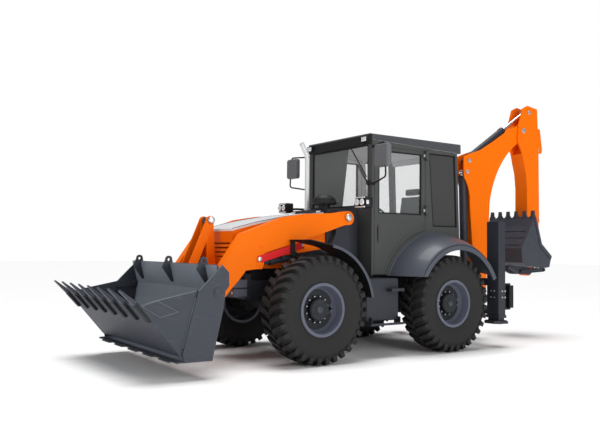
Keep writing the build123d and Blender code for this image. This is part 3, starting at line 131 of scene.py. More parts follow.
def add_node(tree: bpy.types.NodeTree, kind: str, **values: object) -> bpy.types.Node:
    """Add a shader node and set its inputs or properties.

    Args:
        tree: The node tree.
        kind: Blender's node type.
        values: Input names with underscores for spaces, or property names.

    Returns:
        The new node.
    """
    node = tree.nodes.new(kind)
    for key, value in values.items():
        label = key.replace("_", " ")
        if label in node.inputs:
            node.inputs[label].default_value = value
        else:
            setattr(node, key, value)
    return node


def shaded(colour: Sequence[float], factor: float) -> tuple[float, float, float, float]:
    """Return a colour made lighter or darker by a factor."""
    red, green, blue = (min(1.0, channel * factor) for channel in colour[:3])
    return (red, green, blue, 1.0)


STEEL_STREAK = "9A9CA2"
"""Colour of steel where the paint is rubbed off."""
STREAK_SCALE = (9.0, 9.0, 70.0)
STREAK_TURN = (0.3, 0.5, 0.2)
WAVE_PER_METRE = 314.0
"""A wave texture of this scale repeats each millimetre."""
BUMP_DEPTH = 0.002
LEAST_ROUGHNESS = 0.02
ROUGHNESS_SPREAD = 0.05


def build_material(finish: Finish) -> bpy.types.Material:
    """Make a procedural material from a finish.

    Args:
        finish: The finish to build.

    Returns:
        The material, with clouded colour, uneven gloss and a fine relief in object coordinates.
    """
    material = bpy.data.materials.new(finish.name)
    material.use_nodes = True
    tree = material.node_tree
    tree.nodes.clear()
    link = tree.links.new
    colour = srgb(finish.colour)
    coordinates = add_node(tree, "ShaderNodeTexCoord")
    clouds = add_node(tree, "ShaderNodeTexNoise", Scale=1000.0 / finish.cloud_mm, Detail=4.0)
    grain = add_node(tree, "ShaderNodeTexNoise", Scale=1000.0 / finish.grain_mm, Detail=3.0)
    for noise in (clouds, grain):
        link(coordinates.outputs["Object"], noise.inputs["Vector"])
    tone = add_node(tree, "ShaderNodeMix", data_type="RGBA")
    tone.inputs[6].default_value = shaded(colour, 1.0 - finish.variation)
    tone.inputs[7].default_value = shaded(colour, 1.0 + finish.variation)
    link(clouds.outputs["Fac"], tone.inputs["Factor"])
    shown = tone.outputs[2]
    if finish.scratch:
        stretch = add_node(tree, "ShaderNodeMapping", Scale=STREAK_SCALE, Rotation=STREAK_TURN)
        lines = add_node(tree, "ShaderNodeTexNoise", Scale=1.0, Detail=6.0, Roughness=0.7)
        ramp = add_node(tree, "ShaderNodeValToRGB")
        ramp.color_ramp.elements[0].position = 0.56
        ramp.color_ramp.elements[1].position = 0.78
        worn = add_node(tree, "ShaderNodeMix", data_type="RGBA")
        amount = add_node(tree, "ShaderNodeMath", operation="MULTIPLY")
        amount.inputs[1].default_value = finish.scratch
        worn.inputs[7].default_value = srgb(STEEL_STREAK)
        link(coordinates.outputs["Object"], stretch.inputs["Vector"])
        link(stretch.outputs["Vector"], lines.inputs["Vector"])
        link(lines.outputs["Fac"], ramp.inputs["Fac"])
        link(ramp.outputs["Color"], amount.inputs[0])
        link(amount.outputs["Value"], worn.inputs["Factor"])
        link(shown, worn.inputs[6])
        shown = worn.outputs[2]
    low = max(LEAST_ROUGHNESS, finish.roughness - ROUGHNESS_SPREAD)
    high = min(1.0, finish.roughness + ROUGHNESS_SPREAD)
    rough = add_node(tree, "ShaderNodeMapRange", To_Min=low, To_Max=high)
    link(grain.outputs["Fac"], rough.inputs["Value"])
    relief = grain.outputs["Fac"]
    if finish.weave_mm:
        threads = []
        for direction in ("X", "Z"):
            scale = WAVE_PER_METRE / finish.weave_mm
            wave = add_node(tree, "ShaderNodeTexWave", Scale=scale, Distortion=0.6)
            wave.bands_direction = direction
            link(coordinates.outputs["Object"], wave.inputs["Vector"])
            threads.append(wave.outputs["Fac"])
        cross = add_node(tree, "ShaderNodeMath", operation="MAXIMUM")
        link(threads[0], cross.inputs[0])
        link(threads[1], cross.inputs[1])
        relief = cross.outputs["Value"]
    bump = add_node(tree, "ShaderNodeBump", Strength=finish.bump, Distance=BUMP_DEPTH)
    link(relief, bump.inputs["Height"])
    shader = add_node(
        tree, "ShaderNodeBsdfPrincipled", Metallic=finish.metallic, Alpha=finish.alpha,
        Coat_Weight=finish.coat,
    )
    if not finish.metallic:
        shader.inputs["Specular IOR Level"].default_value = finish.specular
    link(shown, shader.inputs["Base Color"])
    link(rough.outputs["Result"], shader.inputs["Roughness"])
    link(bump.outputs["Normal"], shader.inputs["Normal"])
    output = add_node(tree, "ShaderNodeOutputMaterial")
    link(shader.outputs["BSDF"], output.inputs["Surface"])
    return material


class Paint(Enum):
    """Every finish on the machine and in the studio."""

    # Two-pack enamel sprayed on steel: an even, saturated orange with a soft gloss.
    ORANGE = Finish("sprayed_orange_enamel", "FF7400", 0.42, variation=0.03, specular=0.1)
    # Structural enamel on plate: dark blue-grey, half matt.
    GRAPHITE = Finish("structural_grey_enamel", "2F323A", 0.5, coat=0.04, variation=0.1)
    # The same enamel on digging plate, rubbed by soil so that bare steel shows in streaks.
    WORN = Finish("worn_digging_plate", "3C4049", 0.52, variation=0.18, scratch=0.22, bump=0.12)
    # Injection-moulded fender: mid grey with a soft broad highlight from its gloss; the same grey
    # along the black front mudguards' edges is painted highlight.
    FENDER_AND_HIGHLIGHT = Finish("fender_polymer_and_painted_highlight", "4A4E58", 0.4, coat=0.1, variation=0.04)
    # Pressed wheel enamel, a little lighter than the structure.
    WHEEL = Finish("pressed_wheel_enamel", "5C606E", 0.46, coat=0.08, variation=0.05)
    # Powder coat on the cab's tubes and panels: neutral dark grey.
    CAB = Finish("cab_powder_coat", "464747", 0.5, coat=0.05, variation=0.05)
    # Vacuum-formed roof skin: satin grey that picks up a light edge.
    ROOF = Finish("formed_roof_skin", "484A4F", 0.34, coat=0.22, variation=0.04)
    # Light grey headliner and trim of foam-backed vinyl, painted nearly white: partly the lining's
    # own colour, partly painted reflection of the white surroundings in the windows.
    LINING_AND_REFLECTION = Finish(
        "headliner_vinyl_and_painted_reflection", "E6E7E8", 0.8, variation=0.03, bump=0.1, grain_mm=3.0
    )
    # Light grey enamel of the engine cover's lid and of trim strips.
    LIGHT = Finish("light_grey_enamel", "E2E4E6", 0.4, coat=0.1, variation=0.03)
    # Mid grey thin edge beads: painted highlight along the clam's plate edges, lighter than the
    # plate, and painted shade along the cover's top edges, darker than the lid.
    EDGE_SHADE_AND_HIGHLIGHT = Finish("grey_painted_edge_shade_and_highlight", "6E717B", 0.42, coat=0.08)
    # Red enamel that marks the locking strut.
    RED = Finish("red_marking_enamel", "E20C18", 0.4, coat=0.1, variation=0.04)
    # Bright beads along the bucket's rims in the colour of bare steel: painted highlight, brighter
    # than the paint beside them.
    EDGE_HIGHLIGHT = Finish("painted_edge_highlight", "7C8088", 0.4, metallic=0.5)
    # Inside of the bucket: painted lighter than its outside where light falls into it, painted
    # light, and streaked with bare steel.
    RUBBED_AND_LIT = Finish("bucket_inside_painted_light", "8A909B", 0.5, variation=0.12, scratch=0.25, bump=0.1)
    # Moulded mirror shell: mid grey with a fine grain.
    SHELL = Finish("moulded_mirror_shell", "66676A", 0.5, bump=0.08, grain_mm=3.0)
    # Sand-cast iron: dark, rough and slightly metallic. On the hubs, deep inside the wheels'
    # discs, the same dark is painted shade.
    CAST_AND_SHADE = Finish("cast_iron_and_painted_shade", "1F2126", 0.66, metallic=0.2, bump=0.3, grain_mm=4.0)
    # Zinc-plated steel of pins, nuts and caps.
    ZINC = Finish("zinc_plated_steel", "D0D2D5", 0.32, metallic=0.75, bump=0.08)
    # Heat-proof silver coating of the exhaust.
    EXHAUST = Finish("aluminised_exhaust_tube", "D8DADC", 0.42, metallic=0.25, variation=0.08)
    # Ground and hard-chromed piston rod: a clear mirror-like band.
    CHROME = Finish("hard_chromed_rod", "E4E6E8", 0.12, metallic=1.0, variation=0.02, bump=0.01)
    # Nitrided rod: dark blue-grey and satin.
    NITRIDED = Finish("nitrided_steel_rod", "3A3F4A", 0.35, metallic=0.4, variation=0.05)
    # Carbon-black tyre compound with fine moulding texture.
    RUBBER = Finish("tyre_tread_rubber", "262626", 0.74, bump=0.25, grain_mm=5.0, variation=0.12)
    # Extruded rubber seals and gaskets; the same black strip in the rear fenders' creases is
    # painted shade.
    SEAL_AND_SHADE = Finish("seal_rubber_and_painted_shade", "141416", 0.7)
    # Injection-moulded black plastic with a leather-like grain.
    PLASTIC = Finish("grained_black_plastic", "18191B", 0.55, bump=0.1, grain_mm=3.0)
    # Woven seat cover, its threads drawn 6 mm apart so that they show.
    FABRIC = Finish("woven_seat_cover", "232427", 0.92, bump=0.35, weave_mm=6.0, variation=0.1)
    # Clear toughened glass: nearly invisible, with a faint grey cast.
    CLEAR = Finish("clear_toughened_glass", "B9BEC0", 0.04, alpha=0.12, variation=0.02, bump=0.0)
    # Smoked glass of the left quarter window, and a dark sheet behind the windscreen's right part
    # that is painted reflection: dark and hardly see-through.
    SMOKED_AND_REFLECTION = Finish("smoked_glass_and_painted_reflection", "444544", 0.16, alpha=0.99, variation=0.06, bump=0.0)
    # Moulded lamp lens over a bright reflector.
    LENS = Finish("fluted_lamp_lens", "EDF0F2", 0.12, metallic=0.3, bump=0.2, grain_mm=9.0)
    # Matt white paper roll under and behind the machine.
    FLOOR = Finish("white_paper_roll", "F8F8F8", 0.95, variation=0.004, bump=0.0)


PAINTED_NODES: dict[Paint, str] = {
    Paint.GRAPHITE: (
        "chassis_frame loader_tower side_tanks lift_barrels tilt_barrel side_frame "
        "stabiliser_leg_left stabiliser_leg_right carriage kingpost tipping_lever "
        "tipping_link boom_barrel dipper_barrel hoe_barrel"
    ),
    Paint.WHEEL: "front_weight",
    Paint.CAST_AND_SHADE: "engine axles",
    Paint.ORANGE: "cowl loader_arm tilt_lever tilt_link boom dipper",
    Paint.LIGHT: "hood_lid",
    Paint.EXHAUST: "exhaust",
    Paint.CAB: "cab_frame door_left door_right",
    Paint.ROOF: "cab_roof",
    Paint.CLEAR: "cab_glass door_glass_left door_glass_right",
    Paint.PLASTIC: "seat console front_guards lamps mirrors",
    Paint.FENDER_AND_HIGHLIGHT: "rear_fenders",
    Paint.NITRIDED: "lift_rods tilt_rod",
    Paint.RED: "safety_strut",
    Paint.WORN: "bucket clam hoe_bucket",
    Paint.CHROME: "boom_rod dipper_rod hoe_rod",
}
NODE_PAINT = {node: paint for paint, nodes in PAINTED_NODES.items() for node in nodes.split()}
for wheel, _, _ in WHEELS:
    NODE_PAINT[f"knuckle_{wheel}"] = Paint.CAST_AND_SHADE
    NODE_PAINT[f"tyre_{wheel}"] = Paint.RUBBER
    NODE_PAINT[f"rim_{wheel}"] = Paint.WHEEL


@dataclass
class Palette:
    """Builds each material once and paints objects with it."""

    made: dict[Paint, bpy.types.Material] = field(default_factory=dict)

    def get(self, paint: Paint) -> bpy.types.Material:
        """Return a paint's material.

        Args:
            paint: The finish wanted.

        Returns:
            The material, built at its first use.
        """
        if paint not in self.made:
            self.made[paint] = build_material(paint.value)
        return self.made[paint]

    def apply(self, obj: bpy.types.Object, paint: Paint) -> None:
        """Give an object one material.

        Args:
            obj: A mesh object.
            paint: The finish it gets.
        """
        obj.data.materials.clear()
        obj.data.materials.append(self.get(paint))

    def apply_where(self, node: str, paint: Paint, chosen: Callable[[Vector], bool]) -> None:
        """Give some faces of a CAD node another material.

        Args:
            node: The node's name.
            paint: The finish of the chosen faces.
            chosen: Says of a face's middle, from the front axle, whether the face is chosen.
        """
        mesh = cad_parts[node].data
        mesh.materials.append(self.get(paint))
        last = len(mesh.materials) - 1
        for face in mesh.polygons:
            middle = face.center
            if chosen(Vector((middle.x - AXLE_X, middle.y, middle.z))):
                face.material_index = last


def shade(obj: bpy.types.Object, angle: float = 32.0) -> None:
    """Smooth an object's curved faces and keep its edges sharp.

    Args:
        obj: A mesh object.
        angle: Largest angle in degrees still shaded smooth.
    """
    solid = bmesh.new()
    solid.from_mesh(obj.data)
    limit = math.radians(angle)
    for face in solid.faces:
        face.smooth = True
    for edge in solid.edges:
        edge.smooth = len(edge.link_faces) == 2 and edge.calc_face_angle(0.0) < limit
    solid.to_mesh(obj.data)
    solid.free()


@dataclass
class Workshop:
    """Turns bmeshes into finished pieces, painted from its palette."""

    palette: Palette

    def finish(
        self, solid: Solid, name: str, paint: Paint, body: str, replaced: str = "",
        angle: float = 32.0,
    ) -> bpy.types.Object:
        """Make a piece from a bmesh, paint it and let it ride on its body.

        Args:
            solid: The bmesh, in the row frame. It is freed.
            name: The piece's name.
            paint: Its finish.
            body: The CAD body that it rides on.
            replaced: The CAD node that it stands for, if any.
            angle: Largest angle in degrees still shaded smooth.

        Returns:
            The piece.
        """
        bmesh.ops.remove_doubles(solid, verts=solid.verts, dist=0.00002)
        bmesh.ops.recalc_face_normals(solid, faces=solid.faces)
        mesh = bpy.data.meshes.new(name)
        solid.to_mesh(mesh)
        solid.free()
        piece = add_object(name, mesh)
        self.palette.apply(piece, paint)
        shade(piece, angle)
        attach(piece, body)
        if replaced:
            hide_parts(replaced)
        LOG.info("%s rides on %s", name, body)
        return piece


def standing(origin: Vector, axis: Sequence[float]) -> Matrix:
    """Return a matrix that stands a shape's Z axis along an axis at an origin."""
    turn = Vector((0.0, 0.0, 1.0)).rotation_difference(Vector(axis)).to_matrix().to_4x4()
    return Matrix.Translation(origin) @ turn


def new_verts(result: dict[str, list]) -> list[bmesh.types.BMVert]:
    """Return the corners among the geometry that an operator made."""
    return [v for v in result["geom"] if isinstance(v, bmesh.types.BMVert)]


def bevel_edges(
    solid: Solid, edges: Iterable[bmesh.types.BMEdge], width: float, steps: int = 2
) -> None:
    """Round edges of a bmesh.

    Args:
        solid: The bmesh.
        edges: The edges to round.
        width: The bevel's width in metres.
        steps: Its segments.
    """
    bmesh.ops.bevel(
        solid, geom=list(edges), offset=width, segments=steps, profile=0.5, affect="EDGES",
        material=-1, clamp_overlap=True,
    )


RIM_SHARE = 0.9
"""Corners above this share of a round shape's height belong to its upper rim."""


def add_round(
    solid: Solid, origin: Vector, axis: Sequence[float], radius: float, height: float,
    sides: int = 24, bevel: float = 0.0,
) -> None:
    """Add a disc, nut, cap or rod that starts at an origin and stands along an axis.

    Args:
        solid: The bmesh.
        origin: Middle of its foot.
        axis: The direction that it stands in.
        radius: Its radius.
        height: Its height.
        sides: Number of sides; six makes a nut.
        bevel: Rounding of its upper rim.
    """
    place = standing(origin, axis) @ Matrix.Translation((0.0, 0.0, height / 2))
    made = bmesh.ops.create_cone(
        solid, cap_ends=True, segments=sides, radius1=radius, radius2=radius, depth=height,
        matrix=place,
    )
    if bevel:
        direction = Vector(axis).normalized()
        level = origin.dot(direction) + height * RIM_SHARE
        upper = {v for v in made["verts"] if v.co.dot(direction) > level}
        rim = {e for v in upper for e in v.link_edges if all(w in upper for w in e.verts)}
        bevel_edges(solid, rim, bevel, steps=3)


def add_block(solid: Solid, low: Vector, high: Vector, bevel: float = 0.0) -> None:
    """Add a block between two corners.

    Args:
        solid: The bmesh.
        low: Lowest corner.
        high: Highest corner.
        bevel: Rounding of all its edges.
    """
    size = high - low
    place = Matrix.Translation((low + high) / 2) @ Matrix.Diagonal((size.x, size.y, size.z, 1.0))
    made = bmesh.ops.create_cube(solid, size=1.0, matrix=place)
    if bevel:
        bevel_edges(solid, {e for v in made["verts"] for e in v.link_edges}, bevel)


def add_rod(solid: Solid, start: Vector, end: Vector, radius: float, sides: int = 12) -> None:
    """Add a round rod between two places."""
    add_round(solid, start, end - start, radius, (end - start).length, sides)


def add_beads(solid: Solid, y: float, line: Sequence[Pair], radius: float) -> None:
    """Add a thin bead along a line on each side of the machine.

    Args:
        solid: The bmesh.
        y: The beads' distance from the middle plane.
        line: X and Z of the line's corners.
        radius: The bead's radius.
    """
    for _, sign in SIDES:
        for (x0, z0), (x1, z1) in zip(line, line[1:]):
            add_rod(solid, at(x0, sign * y, z0), at(x1, sign * y, z1), radius, sides=8)


def add_lathe(
    solid: Solid, centre: Vector, profile: Sequence[Pair], steps: int = 96, start: float = 0.0,
    turn: float = 360.0,
) -> None:
    """Spin a profile about the Y axis through a centre.

    Args:
        solid: The bmesh.
        centre: A point on the axis.
        profile: Radius and place along Y of each corner, in order.
        steps: Number of steps round.
        start: Angle of the first section, from +X towards +Z.
        turn: How far it goes round, in degrees.
    """
    angle = math.radians(start)
    along = Vector((math.cos(angle), 0.0, math.sin(angle)))
    places = [centre + along * r + Vector((0.0, y, 0.0)) for r, y in profile]
    corners = [solid.verts.new(place) for place in places]
    edges = [solid.edges.new((a, b)) for a, b in zip(corners, corners[1:])]
    bmesh.ops.spin(
        solid, geom=corners + edges, cent=centre, axis=(0.0, -1.0, 0.0), dvec=(0.0, 0.0, 0.0),
        angle=math.radians(turn), steps=steps, use_merge=turn == 360.0,
    )


def add_frame(
    solid: Solid, corners: Sequence[Vector], width: float, depth: Sequence[float]
) -> None:
    """Add a flat ring, such as a window seal, inside an outline.

    Args:
        solid: The bmesh.
        corners: The outline's corners in order.
        width: Width of the ring.
        depth: How far and which way it stands out.
    """
    face = solid.faces.new([solid.verts.new(c) for c in corners])
    face.normal_update()
    ring = bmesh.ops.inset_region(
        solid, faces=[face], thickness=width, use_boundary=True, use_even_offset=True
    )["faces"]
    bmesh.ops.delete(solid, geom=[face], context="FACES")
    outer = new_verts(bmesh.ops.extrude_face_region(solid, geom=ring))
    bmesh.ops.translate(solid, verts=outer, vec=Vector(depth))


@dataclass(frozen=True)
class Hardware:
    """A nut, bolt head, cap or lens: round or six-sided, with a rounded upper rim."""

    radius: float
    height: float
    sides: int
    bevel: float = 0.0

    def add(self, solid: Solid, origin: Vector, axis: Sequence[float]) -> None:
        """Add the piece to a bmesh.

        Args:
            solid: The bmesh.
            origin: Middle of its foot.
            axis: The direction that it stands in.
        """
        add_round(solid, origin, axis, self.radius, self.height, self.sides, self.bevel)

    def add_pair(self, solid: Solid, place: Point) -> None:
        """Add the piece on both sides of the machine, standing outwards.

        Args:
            solid: The bmesh.
            place: Middle of its foot on the left side, from the front axle.
        """
        x, y, z = place
        for _, sign in SIDES:
            self.add(solid, at(x, sign * y, z), (0.0, sign, 0.0))


def add_side_block(solid: Solid, sign: float, low: Point, high: Point, bevel: float) -> None:
    """Add a block that is given for the left side, on either side.

    Args:
        solid: The bmesh.
        sign: 1 for the left side, -1 for the right one.
        low: Its lowest corner on the left side, from the front axle.
        high: Its highest corner there.
        bevel: Rounding of its edges.
    """
    near, far = sorted((sign * low[1], sign * high[1]))
    add_block(solid, at(low[0], near, low[2]), at(high[0], far, high[2]), bevel)


def around_axle(x: float, y: float, circle: float, count: int, phase: float) -> list[Vector]:
    """Return places on a circle about a wheel's axle.

    Args:
        x: The axle's place along X, from the front axle.
        y: The circle's place along Y.
        circle: Its radius.
        count: Number of places.
        phase: Where the first one lies, in pitches from the front.

    Returns:
        The places in the row frame.
    """
    angles = [2 * math.pi * (n + phase) / count for n in range(count)]
    return [at(x + circle * math.cos(a), y, WHEEL_RADIUS + circle * math.sin(a)) for a in angles]


@dataclass
class Tyres:
    """Four lugged tyres, each in place of its plain CAD tyre."""

    workshop: Workshop
    steps: int = 96
    lugs: int = 32
    lug_share: float = 0.54
    """Width of a lug as a share of the pitch."""
    crown_share: float = 0.82
    foot_share: float = 1.12
    """Widths at a lug's crown and foot as shares of that width."""
    shoulder_lag: float = 7.0
    """How far a lug's outer end trails its inner end, in degrees."""
    crease_angle: float = 28.0
    carcass: Line = (
        (0.3065, 0.150), (0.328, 0.1605), (0.345, 0.163), (0.400, 0.188), (0.470, 0.206),
        (0.530, 0.207), (0.580, 0.197), (0.606, 0.182), (0.622, 0.150), (0.629, 0.080),
        (0.631, 0.0),
    )
    """Radius and place along Y of each corner of half a section, from the bead to the crown."""
    bar: tuple[tuple[float, float, float, float], ...] = (
        (0.004, 0.0, 0.620, 0.00), (0.060, 0.0003, 0.620, 0.36), (0.115, 0.0020, 0.615, 0.66),
        (0.168, 0.0075, 0.600, 0.88), (0.205, 0.0195, 0.575, 1.00), (0.2125, 0.0525, 0.565, 1.02),
    )
    """Rows along a lug: place along Y, drop of its crown, radius of its foot, share of the lag."""

    def build(self) -> None:
        """Make the four tyres."""
        mirrored = tuple((r, -y) for r, y in reversed(self.carcass[:-1]))
        for wheel, _, _ in WHEELS:
            tyre = f"tyre_{wheel}"
            middle = middle_of(tyre)
            solid = bmesh.new()
            add_lathe(solid, middle, self.carcass + mirrored, self.steps)
            for sign, shift in ((1.0, 0.0), (-1.0, 0.5)):
                self.add_lugs(solid, middle, sign, shift)
            self.workshop.finish(
                solid, f"tread_{tyre}", Paint.RUBBER, f"wheel_{wheel}", tyre, self.crease_angle
            )

    def add_lugs(self, solid: Solid, middle: Vector, sign: float, shift: float) -> None:
        """Add one side's lugs.

        Args:
            solid: The tyre's bmesh.
            middle: The wheel's middle.
            sign: 1 for the side towards +Y, -1 for the other.
            shift: How far its lugs are staggered, in pitches.
        """
        pitch = 2 * math.pi / self.lugs
        last = len(self.bar) - 1
        foot = bmesh.ops.create_grid(solid, x_segments=last, y_segments=1, size=1.0)["verts"]
        faces = list({f for v in foot for f in v.link_faces})
        raised = set(new_verts(bmesh.ops.extrude_face_region(solid, geom=faces)))
        half = pitch * self.lug_share / 2
        whole = foot + list(raised)
        for v in whole:
            across = v.co.y
            y, drop, inner, lag = self.bar[round((v.co.x + 1) / 2 * last)]
            r = WHEEL_RADIUS - drop if v in raised else inner
            spread = half * (self.crown_share if v in raised else self.foot_share)
            angle = math.radians(90 + self.shoulder_lag * lag) + across * spread
            v.co = middle + Vector((r * math.cos(angle), sign * y, r * math.sin(angle)))
        bmesh.ops.rotate(
            solid, verts=whole, cent=middle, matrix=Matrix.Rotation(-pitch * shift, 3, "Y")
        )
        geometry = whole + list({e for v in whole for e in v.link_edges})
        geometry += list({f for v in whole for f in v.link_faces})
        for n in range(1, self.lugs):
            copies = new_verts(bmesh.ops.duplicate(solid, geom=geometry))
            turn = Matrix.Rotation(pitch * n, 3, "Y")
            bmesh.ops.rotate(solid, verts=copies, cent=middle, matrix=turn)


@dataclass
class WheelNuts:
    """Wheel nuts, hub screws and the valve of each wheel.

    Places along Y are from the wheel's middle plane.
    """

    workshop: Workshop
    stud_circle: float = 0.161
    studs: int = 12
    nut: Hardware = Hardware(0.0175, 0.017, 6, 0.003)
    nut_foot: float = 0.027
    stud_tip: Hardware = Hardware(0.0085, 0.013, 12, 0.003)
    stud_tip_foot: float = 0.0433
    screw_circle: float = 0.108
    screws: int = 10
    screw: Hardware = Hardware(0.009, 0.007, 6, 0.0015)
    hub_cap: Hardware = Hardware(0.045, 0.008, 32, 0.003)
    hub_face: float = 0.1053
    valve: Point = (0.262, 0.075, 0.03)
    """The valve's foot from the wheel's middle."""
    valve_length: float = 0.05
    valve_radius: float = 0.005

    def build(self) -> None:
        """Make each wheel's fasteners."""
        for wheel, x, sign in WHEELS:
            self.dress_wheel(wheel, x, sign)

    def dress_wheel(self, wheel: str, x: float, sign: float) -> None:
        """Make one wheel's fasteners.

        Args:
            wheel: The wheel's end and side, as in its body's name.
            x: Its axle's place along X, from the front axle.
            sign: 1 for the left side, -1 for the right one.
        """
        out = (0.0, sign, 0.0)
        nuts = bmesh.new()
        tips = bmesh.new()
        foot = sign * (WHEEL_Y + self.nut_foot)
        tip_foot = sign * (WHEEL_Y + self.stud_tip_foot)
        for place in around_axle(x, foot, self.stud_circle, self.studs, phase=0.5):
            self.nut.add(nuts, place, out)
            self.stud_tip.add(tips, Vector((place.x, tip_foot, place.z)), out)
        body = f"wheel_{wheel}"
        self.workshop.finish(nuts, f"wheel_nuts_{wheel}", Paint.NITRIDED, body)
        self.workshop.finish(tips, f"stud_tips_{wheel}", Paint.ZINC, body)
        hub = bmesh.new()
        face = sign * (WHEEL_Y + self.hub_face)
        for place in around_axle(x, face, self.screw_circle, self.screws, phase=0.0):
            self.screw.add(hub, place, out)
        self.hub_cap.add(hub, at(x, face, WHEEL_RADIUS), out)
        dx, dy, dz = self.valve
        valve = at(x + dx, sign * (WHEEL_Y + dy), WHEEL_RADIUS + dz)
        end = valve + Vector((0.0, sign * self.valve_length, 0.0))
        add_rod(hub, valve, end, self.valve_radius)
        self.workshop.finish(hub, f"hub_screws_{wheel}", Paint.NITRIDED, body)


@dataclass
class LoaderDress:
    """Pin caps, bolts and edge beads of the loader and the engine cover; the beads are painted
    highlight and painted shade.
    """

    workshop: Workshop
    caps: tuple[tuple[str, str, Point, Hardware], ...] = (
        ("tilt_pin_caps", "tilt_lever", (1.0, 0.1245, 1.745), Hardware(0.046, 0.026, 32, 0.0208)),
        ("arm_pin_caps", "chassis", (-0.751, 0.6645, 1.817), Hardware(0.05, 0.03, 32, 0.024)),
        ("lift_base_caps", "chassis", (-0.620, 0.6245, 1.400), Hardware(0.032, 0.012, 32, 0.0096)),
    )
    """Name, body, place on the left side and form of each pair of caps."""
    strut_pin: Point = (0.622, 0.6622, 1.270)
    strut_pin_head: Hardware = Hardware(0.03, 0.022, 24, 0.008)
    strut_bolt: Point = (-0.012, 0.6622, 1.447)
    strut_bolt_head: Hardware = Hardware(0.018, 0.012, 6, 0.003)
    bosses: tuple[tuple[float, float, float, float], ...] = (
        (0.586, 1.434, 0.020, 0.034), (0.613, 1.212, 0.026, 0.046), (1.345, 0.620, 0.030, 0.058),
    )
    """X, Z, plug radius and pin radius of each boss on the arm."""
    plug_foot: float = 0.6543
    plug_height: float = 0.008
    ring_faces: Pair = (0.6492, 0.6512)
    ring_gap: float = 0.0005
    ring_reach: float = 0.006
    # painted shade: a grey bead along this line draws the shaded top edge of the cover
    cover_edge: Line = (
        (0.861, 1.642), (0.500, 1.7355), (0.136, 1.807), (-0.200, 1.855), (-0.520, 1.891),
    )
    cover_edge_y: float = 0.403
    cover_edge_radius: float = 0.0045
    weight_face: float = 0.7905
    weight_bolts: Line = ((-0.30, 0.846), (-0.30, 0.961), (0.30, 0.846), (0.30, 0.961))
    washer: Hardware = Hardware(0.0252, 0.004, 20)
    bolt: Hardware = Hardware(0.014, 0.012, 6, 0.002)
    bucket_pivot: Point = (1.48, 1.2232, 0.92)
    pivot_nut: Hardware = Hardware(0.036, 0.0065, 6, 0.002)
    teeth: int = 8
    outer_tooth: Point = (2.335, 1.141, 0.79)
    tooth_half: float = 0.0412
    tooth_pin: Hardware = Hardware(0.011, 0.005, 12, 0.0015)
    back_edge: Line = ((1.429, 1.219), (1.708, 0.945))
    front_edge: Line = ((1.716, 0.945), (2.150, 0.860), (2.351, 0.810))
    # painted highlight: a grey bead round this outline stands in for the plate edges' highlight
    kite: Line = ((2.338, 0.803), (2.169, 0.855), (1.931, 0.732), (2.138, 0.683), (2.338, 0.803))
    back_face: float = 1.2155
    front_face: float = 1.1925
    kite_face: float = 1.202
    edge_bead_radius: float = 0.0028

    def build(self) -> None:
        """Make the loader's details."""
        self.cap_pins()
        self.fit_bosses()
        self.paint_lid_edge_shade()
        self.bolt_nose()
        self.dress_bucket()

    def cap_pins(self) -> None:
        """Make domed silver caps on the visible pins and on the strut's pins."""
        for name, body, place, cap in self.caps:
            solid = bmesh.new()
            cap.add_pair(solid, place)
            self.workshop.finish(solid, name, Paint.ZINC, body)
        strut = bmesh.new()
        self.strut_pin_head.add(strut, at(*self.strut_pin), (0.0, 1.0, 0.0))
        self.strut_bolt_head.add(strut, at(*self.strut_bolt), (0.0, 1.0, 0.0))
        self.workshop.finish(strut, "strut_pins", Paint.ZINC, "lift_barrels")

    def fit_bosses(self) -> None:
        """Make the plugs and raised rings of the arm's bosses."""
        plugs = bmesh.new()
        rings = bmesh.new()
        for _, sign in SIDES:
            low, high = (sign * face for face in self.ring_faces)
            for x, z, plug, pin in self.bosses:
                head = Hardware(plug, self.plug_height, sides=24, bevel=0.003)
                head.add(plugs, at(x, sign * self.plug_foot, z), (0.0, sign, 0.0))
                inner, outer = pin + self.ring_gap, pin + self.ring_reach
                section = ((inner, low), (outer, low), (outer, high), (inner, high), (inner, low))
                add_lathe(rings, at(x, 0.0, z), section, steps=40)
        self.workshop.finish(plugs, "arm_boss_plugs", Paint.ORANGE, "loader_arm")
        self.workshop.finish(rings, "arm_boss_seals", Paint.ORANGE, "loader_arm")

    def paint_lid_edge_shade(self) -> None:
        """Make the grey lines of painted shade along the top of the cover's sides."""
        solid = bmesh.new()
        add_beads(solid, self.cover_edge_y, self.cover_edge, self.cover_edge_radius)
        self.workshop.finish(solid, "cover_edge_painted_shade", Paint.EDGE_SHADE_AND_HIGHLIGHT, "chassis")

    def bolt_nose(self) -> None:
        """Make the bolts that hold the nose weights."""
        solid = bmesh.new()
        ahead = (1.0, 0.0, 0.0)
        for y, z in self.weight_bolts:
            self.washer.add(solid, at(self.weight_face, y, z), ahead)
            self.bolt.add(solid, at(self.weight_face + self.washer.height, y, z), ahead)
        self.workshop.finish(solid, "weight_bolts", Paint.ZINC, "chassis")

    def dress_bucket(self) -> None:
        """Make the bucket's hexagonal pivot nuts, tooth pins and bright beads of painted highlight
        along its rims and plate edges.
        """
        nuts = bmesh.new()
        self.pivot_nut.add_pair(nuts, self.bucket_pivot)
        self.workshop.finish(nuts, "bucket_pivot_nuts", Paint.NITRIDED, "bucket")
        pins = bmesh.new()
        x, reach, z = self.outer_tooth
        for n in range(self.teeth):
            y = -reach + 2 * reach * n / (self.teeth - 1)
            for _, sign in SIDES:
                place = at(x, y + sign * self.tooth_half, z)
                self.tooth_pin.add(pins, place, (0.0, sign, 0.0))
        self.workshop.finish(pins, "tooth_pins", Paint.NITRIDED, "clam")
